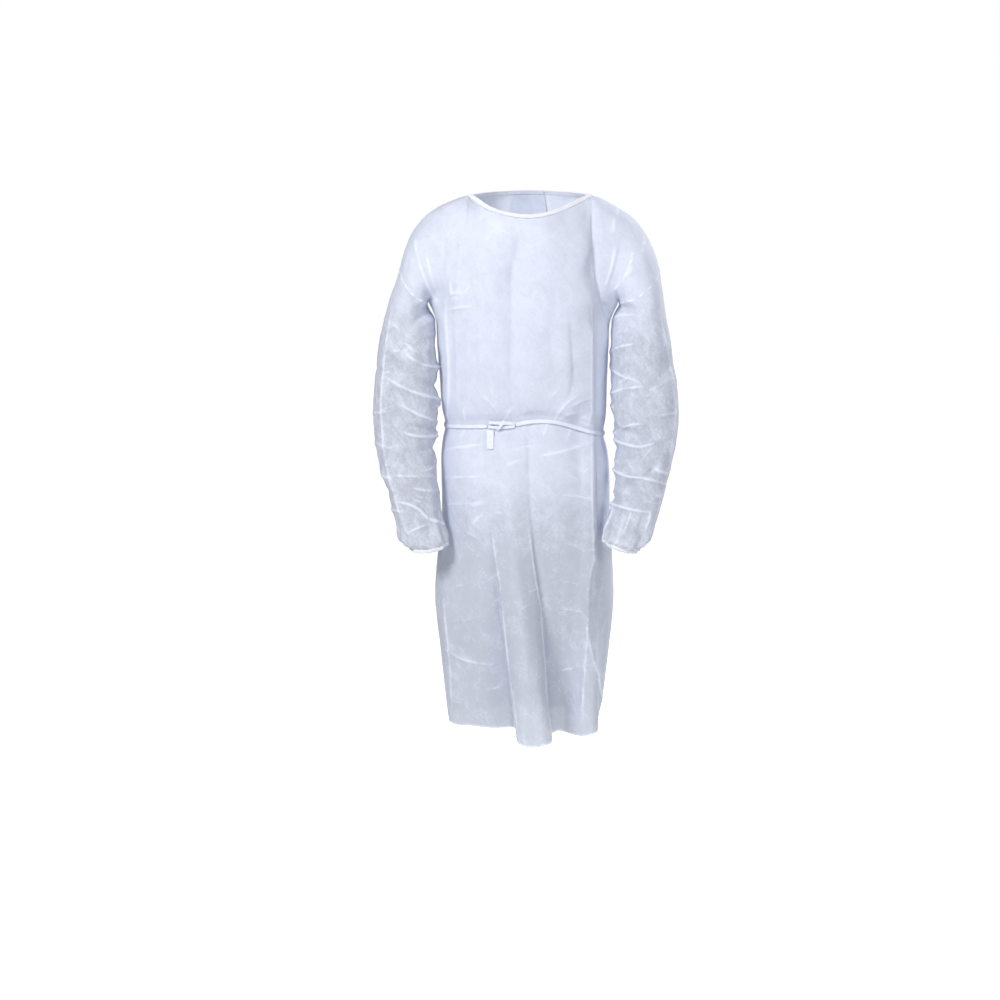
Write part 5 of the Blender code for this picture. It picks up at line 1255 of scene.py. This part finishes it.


# The heights below paint shade on the lower skirt and the lower sleeves: a darker, clearer, more mottled web.
# crest sets the painted crest highlight.
NONWOVEN = cloth_material(
    "nonwoven", (0.80, 0.845, 0.96), (0.54, 0.565, 0.64), 0.018, 0.24, 0.4,
    crest=0.6, calm=0.42, painted_shade_depth=0.12, shaded_mottle_heights=(-0.69, -0.55), thin=(-0.70, -0.56),
)
SLEEVE_LOOK = cloth_material(
    "nonwoven_sleeve", (0.80, 0.84, 0.95), (0.50, 0.515, 0.58), 0.05, 0.26, 0.4,
    crest=0.7, calm=0.42, painted_shade_depth=0.06, shaded_mottle_heights=(-0.30, -0.20), thin=(-0.31, -0.22),
)
BOUND = cloth_material("binding", (0.90, 0.91, 0.96), (0.80, 0.82, 0.88), 0.01, 0.15, 0.25)
ELASTIC_LOOK = cloth_material("elastic", (0.80, 0.83, 0.88), (0.66, 0.69, 0.73), 0.01, 0.10, 0.5)
TAPE_LOOK = cloth_material("tape", (0.82, 0.855, 0.96), (0.70, 0.73, 0.82), 0.01, 0.12, 0.4)


# ------------------------------------------------------------------ pieces
def piece_from(name, points, faces, material):
    mesh = bpy.data.meshes.new(name)
    mesh.from_pydata(np.asarray(points, float).tolist(), [], faces)
    mesh.shade_smooth()
    piece = bpy.data.objects.new(name, mesh)
    bpy.context.scene.collection.objects.link(piece)
    mesh.materials.append(material)
    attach(piece, "root")
    return piece


def shell(name, points, closed, flip, material, lift=None):
    """An open, single-layer mesh on a fine grid; lift, in millimetres, is kept as a point attribute that
    whitens the cloth: painted highlights, and doubled cloth by the pleat.
    """
    rows, columns = points.shape[:2]
    r, c = np.meshgrid(np.arange(rows - 1), np.arange(columns if closed else columns - 1), indexing="ij")
    corners = [(r, c), (r, c + 1), (r + 1, c + 1), (r + 1, c)]
    faces = np.stack([i * columns + j % columns for i, j in corners], axis=-1).reshape(-1, 4)
    if flip:
        faces = faces[:, ::-1]
    piece = piece_from(name, points.reshape(-1, 3), faces.tolist(), material)
    if lift is not None:
        values = piece.data.attributes.new("lift", "FLOAT", "POINT").data
        values.foreach_set("value", lift.ravel().astype(np.float32))
    return piece


def area_of(points, closed):
    if closed:
        points = np.concatenate([points, points[:, :1]], axis=1)
    one, other = points[1:, 1:] - points[:-1, :-1], points[1:, :-1] - points[:-1, 1:]
    return float(np.linalg.norm(np.cross(one, other), axis=2).sum() / 2)


def edge_distance(points, sides):
    """How far each point of a grid lies from its seam edges, along the cloth; sides names those edges."""
    down, across = from_first_row(points), from_first_row(points.transpose(1, 0, 2)).T
    away = {
        "first_row": down,
        "last_row": down[-1] - down,
        "first_column": across,
        "last_column": across[:, -1:] - across,
    }
    return np.min([away[side] for side in sides], axis=0)


SEAM_EDGES = {
    "front_panel": ("first_column", "last_column", "last_row"),
    "back_panel_left": ("first_column", "last_row"),
    "back_panel_right": ("first_column", "last_row"),
    "sleeve_left": ("first_row", "last_row"),
    "sleeve_right": ("first_row", "last_row"),
}
FLATS = {
    "front_panel": (0.86, 1.14),
    "back_panel_left": (0.50, 1.10),
    "back_panel_right": (0.50, 1.10),
    "sleeve_left": (0.46, 0.58),
    "sleeve_right": (0.46, 0.58),
}
MIRROR = np.array([-1.0, 1.0, 1.0])

# What lies on the cloth, and how near to it the creases begin to lie flat and are flat.
TAPES = ("waist_tape", "waist_knot", "waist_tape_tail", "neck_tie")
TAPE_NEAR, TAPE_FAR = 0.006, 0.018


def tape_points():
    """Points along the tapes that lie on the cloth, to look up by nearness."""
    spots = []
    for node in TAPES:
        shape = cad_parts[node]
        at = np.array([shape.matrix_world @ v.co for v in shape.data.vertices])
        ends = np.array([edge.vertices[:] for edge in shape.data.edges])
        spots += [at, at[ends].mean(axis=1)]
    spots = np.concatenate(spots)
    tree = KDTree(len(spots))
    for i, spot in enumerate(spots):
        tree.insert(spot, i)
    tree.balance()
    return tree


def tape_room(points, tapes):
    """How much of a crease's rise is left by each point, so that the cloth stays under the tapes."""
    away = np.array([tapes.find(point)[2] for point in points.reshape(-1, 3)])
    return soft(TAPE_NEAR, TAPE_FAR, away).reshape(points.shape[:2])


HEM_LINE = Table(  # the front hem in the view, in millimetres
    "x z",
    (-152, -1052), (-136, -1066), (-124, -1064), (-102, -1063), (-38, -1058), (-26, -1054), (-17, -1062),
    (-12, -1100), (-6, -1106), (12, -1112), (26, -1110), (42, -1106), (50, -1098), (55, -1080), (66, -1075),
    (88, -1080), (100, -1092), (118, -1094), (136, -1088), (144, -1066), (152, -1052),
)
HEM_MOST, HEM_REACH, HEM_SMOOTH = 0.008, 0.07, 6
HEM_FACING = (0.05, -0.35)


def hang(points, normals):
    """The front hem let down or taken up to its line in the view, fading out up the skirt."""
    places = seen(points[0]) / MM
    target = np.interp(places[:, 0], HEM_LINE.column("x"), HEM_LINE.column("z"))
    drop = np.clip((target - places[:, 1]) * MM, -HEM_MOST, HEM_MOST)
    drop = np.pad(drop * soft(*HEM_FACING, normals[0, :, 1]), HEM_SMOOTH, mode="edge")
    window = 2 * HEM_SMOOTH + 1
    drop = np.convolve(drop, np.ones(window), mode="valid") / window
    moved = points.copy()
    moved[..., 2] += drop * (1 - soft(0.0, HEM_REACH, from_first_row(points)))
    return moved


# The gathers over the cuff elastics: waves round the cuff, how far up they run, and the painted highlight on
# their crests.
CUFF_WAVES = Table("waves height", (7, 0.7), (12, 1.0), (19, 0.8), (31, 0.45))
GATHER_REACH, GATHER_HEIGHT = 0.020, 0.0011
GATHER_UNEVEN = ((3, 0.5), (8, 0.3))
# the painted highlight on the gathers: its strength, the wave at which it is full, and the share of their
# reach it keeps
GATHER_HIGHLIGHT, GATHER_FULL, HIGHLIGHT_REACH = 2.4, 1.6, 0.8


def gathers(points, name):
    """Uneven gathers that run up the sleeve from its elastic, and a painted highlight on their crests."""
    draw = np.random.default_rng([ord(letter) for letter in name])
    turn = np.linspace(0, 2 * math.pi, points.shape[1], endpoint=False)
    down = np.linalg.norm(np.diff(points, axis=0), axis=2).mean(axis=1)
    away = np.concatenate([np.cumsum(down[::-1])[::-1], [0.0]])[:, None]
    wave = 0
    for waves, height in CUFF_WAVES.values:
        wave = wave + height * np.sin(waves * turn + draw.uniform(0, 2 * math.pi))
    (slow, much), (quick, little) = GATHER_UNEVEN
    reach = 1 + much * np.sin(slow * turn + draw.uniform(0, 6)) + little * np.sin(quick * turn)
    reach = GATHER_REACH * reach
    # painted highlight on the gather crests
    white = GATHER_HIGHLIGHT * np.clip(wave / GATHER_FULL, 0, 1) ** 2 * np.exp(-away / (HIGHLIGHT_REACH * reach))
    return wave * GATHER_HEIGHT * np.exp(-away / reach), white


# The middle of the gap between each sleeve and the side, and the share of it that is drawn in there.
ARMPITS = Table(
    "z left right draw",
    (-0.320, -0.1751, 0.1676, 0.00),
    (-0.300, -0.1768, 0.1685, 0.40),
    (-0.280, -0.1767, 0.1689, 0.45),
    (-0.260, -0.1775, 0.1702, 0.50),
    (-0.250, -0.1783, 0.1715, 0.60),
    (-0.240, -0.1810, 0.1748, 0.78),
    (-0.230, -0.1870, 0.1796, 0.84),
    (-0.220, -0.1916, 0.1850, 0.82),
    (-0.213, -0.1945, 0.1870, 0.60),
    (-0.206, -0.1960, 0.1890, 0.00),
)
ARMPIT_REACH = 0.013


def draw_in(points):
    """The cloth of the sleeve and of the side drawn together below the armpit, without touching."""
    moved = points.copy()
    for side in ("left", "right"):
        middle, draw = (
            np.interp(points[..., 2], ARMPITS.column("z"), ARMPITS.column(name)) for name in (side, "draw")
        )
        off = points[..., 0] - middle
        moved[..., 0] -= draw * off * np.exp(-0.5 * (off / ARMPIT_REACH) ** 2)
    return moved


LAYERED_AND_PAINTED_LIGHT = Table(  # where a pleat lays the cloth double, so that less shows through it, and where painted light lifts that strip, which lies in shade; in millimetres
    "x0 x1 z0 z1 edge white",
    (141, 178, -444, -250, 6, 1.0),
    (141, 182, -660, -476, 6, 0.6),
)
LAYERED_FACING = (0.35, -0.05)


def layered(points, normals):
    """How much the cloth is whitened where a pleat lies behind it: partly the doubled cloth, partly painted
    light on a strip that lies in shade.
    """
    x, z = np.moveaxis(seen(points) / MM, -1, 0)
    white = np.zeros(x.shape)
    for x0, x1, z0, z1, edge, most in LAYERED_AND_PAINTED_LIGHT.values:
        across = soft(x0 - edge, x0 + edge, x) * (1 - soft(x1 - edge, x1 + edge, x))
        white += most * across * soft(z0 - edge, z0 + edge, z) * (1 - soft(z1 - 3 * edge, z1 + 3 * edge, z))
    return white * soft(*LAYERED_FACING, normals[..., 1])


GAINS = {  # of the ridges and of the troughs in each table
    "front": (1.0, 0.85),
    "back": (1.8, 1.7),
    "sleeve": (2.0, 1.4),
    "sleeve_back": (1.9, 1.5),
    "small": (1.0, 0.8),
}
SWELL = {"front": 0.0006, "back": 0.0009, "sleeve": 0.0015}  # the height of the long swells
SWELL_WAVES = {"seed": 11, "count": 26, "low": 0.05, "high": 0.16}
# The painted highlight on the crests is made uneven by these waves round this mean.
HIGHLIGHT_WAVES = {"seed": 5, "count": 12, "low": 0.012, "high": 0.05, "size": 0.5}
HIGHLIGHT_MEAN = 0.75
# The share of its height that a crease keeps at a seam, and how far from there it has all of it.
SEAM_HOLD, HOLD_REACH = 0.12, 0.012
HEM_HIGHLIGHT, EDGE_ROWS = 2.2, 2  # a painted highlight along the hems, over this many rows
PANELS_AROUND = ("front_panel", "back_panel_left", "back_panel_right")


def creases_on(name, kind, points):
    """A panel's crease tables, each with its view, its face, its gains and the points it is pressed into."""
    turned = points * MIRROR if name in ("sleeve_left", "back_panel_left") else points
    if kind == "sleeve":
        faces = (FRONT, BACK)
        jobs = [
            (SLEEVE_CREASES[name], seen, FRONT, GAINS["sleeve"], points),
            (SLEEVE_BACK_CREASES, flat_view, BACK, GAINS["sleeve_back"], turned),
        ]
    elif kind == "back":
        faces, jobs = (BACK,), [(BACK_CREASES, flat_view, BACK, GAINS["back"], points)]
    else:
        faces, jobs = (FRONT,), [(FRONT_CREASES, seen, FRONT, GAINS["front"], points)]
    for place, low, high in SMALL_AREAS:
        if place != kind:
            continue
        for face in faces:
            table = small_creases(name + str(face) + str(low), low, high)
            jobs.append((table, flat_view, face, GAINS["small"], turned))
    return jobs


def dress():
    """The five panels as thin shells: their coarse grids, their fine ones, and each piece with its area."""
    cloth = build_cloth()
    crease(cloth)
    coarse = {}
    for name, (grid, flip, closed) in cloth.panels.items():
        coarse[name] = (np.array([[cloth.points[i] for i in row] for row in grid]), flip, closed)
    gaps = np.mean([mean_gaps(coarse[name][0], 0) for name in PANELS_AROUND], axis=0)
    tapes = tape_points()
    fine, pieces = {}, {}
    for name in FLATS:
        kind = name.split("_")[0]
        points, flip, closed = coarse[name]
        points = finer(points, STEP[kind], closed, None if closed else gaps)
        normals = grid_normals(points, closed, flip)
        height = ripples(points, size=SWELL[kind], **SWELL_WAVES)
        painted_light_and_doubling = np.zeros(height.shape)
        for table, view, face, gains, places in creases_on(name, kind, points):
            more, crest_highlight = press(places, normals, table, view, face, gains)
            height, painted_light_and_doubling = height + more, painted_light_and_doubling + crest_highlight
        # the painted crest highlights, made uneven
        painted_light_and_doubling = painted_light_and_doubling * (HIGHLIGHT_MEAN + ripples(points, **HIGHLIGHT_WAVES))
        if closed:
            more, crest_highlight = gathers(points, name)
            height, painted_light_and_doubling = height + more, painted_light_and_doubling + crest_highlight
        else:
            # painted highlight along the hem
            painted_light_and_doubling[:EDGE_ROWS] += HEM_HIGHLIGHT
        held = soft(0.0, HOLD_REACH, edge_distance(points, SEAM_EDGES[name]))
        height = height * (SEAM_HOLD + (1 - SEAM_HOLD) * held)
        height = np.where(height > 0, height * tape_room(points, tapes), height)
        points = points + normals * height[..., None]
        if name == "front_panel":
            points = hang(points, normals)
            # the doubled cloth by the pleat, with painted light on that shaded strip
            painted_light_and_doubling = painted_light_and_doubling + layered(points, normals)
        fine[name] = points = draw_in(points)
        look = SLEEVE_LOOK if closed else NONWOVEN
        piece = shell("cloth_" + name, points, closed, flip, look, painted_light_and_doubling)
        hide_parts(name)
        pieces[name] = (piece, area_of(points, closed))
    return coarse, fine, pieces


SEAM_HALF = 0.0014
SEAM_LIFT = (0.0003, 0.0009, 0.0003)
SIDE_SEAM_TOP = -0.24


def seam(name, edge, inward, normals, closed):
    """A narrow welded seam along an edge of a panel, lying over both sides of it."""
    inward = inward / np.linalg.norm(inward, axis=1)[:, None]
    offsets = (-SEAM_HALF, 0.0, SEAM_HALF)
    strip = np.stack([edge + inward * o + normals * h for o, h in zip(offsets, SEAM_LIFT)], axis=1)
    if closed:
        strip = np.concatenate([strip, strip[:1]], axis=0)
    return shell(name, strip, False, False, BOUND)


def seams(coarse, fine):
    """The welded seams, under the names of the panels that they belong to."""
    edges = {name: [] for name in FLATS}
    for side in ("left", "right"):
        name = "sleeve_" + side
        ring = fine[name]
        normals = grid_normals(ring, True, coarse[name][1])
        edges[name].append(seam("seam_armhole_" + side, ring[0], ring[1] - ring[0], normals[0], True))
    front = fine["front_panel"]
    normals = grid_normals(front, False, coarse["front_panel"][1])
    for side, column, following in (("a", 0, 1), ("b", -1, -2)):
        low = front[:, column, 2] < SIDE_SEAM_TOP
        edge, inward = front[low, column], front[low, following] - front[low, column]
        edges["front_panel"].append(seam("seam_side_" + side, edge, inward, normals[low, column], False))
    return edges


coarse, fine, pieces = dress()
for name, edges in seams(coarse, fine).items():
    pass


# ------------------------------------------------------------------ tapes and elastics
DENTS = 18
WELD = 1e-5
JOIN = {"angle_face_threshold": math.radians(25), "angle_shape_threshold": math.radians(80)}


def soften(node, material, size, low, high):
    """A tape with rounded edges and small uneven dents, in place of its plain solid."""
    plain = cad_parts[node]
    whole = bmesh.new()
    whole.from_mesh(plain.data)
    bmesh.ops.remove_doubles(whole, verts=whole.verts, dist=WELD)
    bmesh.ops.join_triangles(whole, faces=whole.faces, **JOIN)
    shape = bpy.data.meshes.new("soft_" + node)
    whole.to_mesh(shape)
    whole.free()
    copy = bpy.data.objects.new("soft_" + node, shape)
    copy.matrix_world = plain.matrix_world
    bpy.context.scene.collection.objects.link(copy)
    for kind in ("SIMPLE", "CATMULL_CLARK"):
        round_off = copy.modifiers.new(kind, "SUBSURF")
        round_off.subdivision_type, round_off.levels = kind, 1
    bpy.context.view_layer.update()
    mesh = bpy.data.meshes.new_from_object(copy.evaluated_get(bpy.context.evaluated_depsgraph_get()))
    copy.modifiers.clear()
    copy.data = mesh
    at = np.array([v.co for v in mesh.vertices])
    normals = np.array([v.normal for v in mesh.vertices])
    at = at + normals * ripples(at, len(at), DENTS, low, high, size)[:, None]
    mesh.vertices.foreach_set("co", at.ravel())
    mesh.shade_smooth()
    mesh.materials.clear()
    mesh.materials.append(material)
    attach(copy, "root")
    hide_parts(node)


for node, material, slot_name, size, low, high in (
    ("cuff_elastic_left", ELASTIC_LOOK, "elastic", 0.0006, 0.005, 0.014),
    ("cuff_elastic_right", ELASTIC_LOOK, "elastic", 0.0006, 0.005, 0.014),
    ("waist_tape", TAPE_LOOK, "nonwoven", 0.00025, 0.008, 0.03),
    ("waist_knot", TAPE_LOOK, "nonwoven", 0.00035, 0.006, 0.016),
    ("waist_tape_tail", TAPE_LOOK, "nonwoven", 0.0003, 0.006, 0.02),
    ("neck_tie", TAPE_LOOK, "nonwoven", 0.0003, 0.006, 0.02),
):
    soften(node, material, size, low, high)
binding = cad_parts["neck_binding"]
binding.data.materials.clear()
binding.data.materials.append(BOUND)


# ------------------------------------------------------------------ studio
WHITE = (1.0, 1.0, 1.0, 1.0)
FLOOR_Z, FLOOR_SIZE = -1.474, 40.0
FLOOR_LOOK = {"Base Color": (0.80, 0.80, 0.80, 1.0), "Roughness": 0.9, "Emission Color": WHITE}
FLOOR_GLOW = 0.9  # only where the camera sees it
SKY = (0.30, 1.0)  # as a light, and as the camera sees it
LIGHTS = {
    "key": {"place": (-1.7, -2.6, 1.3), "aim": (0.0, 0.0, -0.3), "size": 0.9, "power": 106},
    "fill": {"place": (2.4, -2.6, 0.5), "aim": (0.0, 0.0, -0.4), "size": 1.5, "power": 34},
    "back": {"place": (2.3, 2.1, 1.2), "aim": (0.0, 0.0, -0.5), "size": 1.0, "power": 95},
}


def camera_sees(tree, start, end):
    """One value for the light that is cast, another for what the camera sees."""
    ray = add(tree, "ShaderNodeLightPath", {}).outputs["Is Camera Ray"]
    return spread(tree, ray, (0.0, 1.0), (start, end))


def studio():
    """The camera, the floor, the sky and the lamps."""
    scene = bpy.context.scene
    camera = bpy.data.objects.new("camera", bpy.data.cameras.new("camera"))
    camera.location = (CAMERA["x"], CAMERA["y"], CAMERA["z"])
    camera.rotation_euler = (math.radians(90 - CAMERA["pitch"]), 0, 0)
    camera.data.lens, camera.data.sensor_width = CAMERA["lens"], CAMERA["sensor"]
    scene.collection.objects.link(camera)
    scene.camera = camera

    plane = bmesh.new()
    bmesh.ops.create_grid(plane, x_segments=1, y_segments=1, size=FLOOR_SIZE)
    mesh = bpy.data.meshes.new("floor")
    plane.to_mesh(mesh)
    plane.free()
    floor = bpy.data.objects.new("floor", mesh)
    floor.location.z = FLOOR_Z
    scene.collection.objects.link(floor)
    pale = bpy.data.materials.new("floor")
    pale.use_nodes = True
    tree = pale.node_tree
    shader = tree.nodes["Principled BSDF"]
    for setting, value in FLOOR_LOOK.items():
        shader.inputs[setting].default_value = value
    tree.links.new(camera_sees(tree, 0.0, FLOOR_GLOW), shader.inputs["Emission Strength"])
    mesh.materials.append(pale)

    world = bpy.data.worlds.new("studio")
    scene.world = world
    world.use_nodes = True
    tree = world.node_tree
    sky = tree.nodes["Background"]
    sky.inputs["Color"].default_value = WHITE
    tree.links.new(camera_sees(tree, *SKY), sky.inputs["Strength"])

    for name, light in LIGHTS.items():
        lamp = bpy.data.objects.new(name, bpy.data.lights.new(name, "AREA"))
        lamp.data.size, lamp.data.energy = light["size"], light["power"]
        lamp.location = light["place"]
        way = Vector(light["aim"]) - Vector(light["place"])
        lamp.rotation_euler = way.to_track_quat("-Z", "Y").to_euler()
        scene.collection.objects.link(lamp)
    scene.view_settings.view_transform = "Standard"


studio()
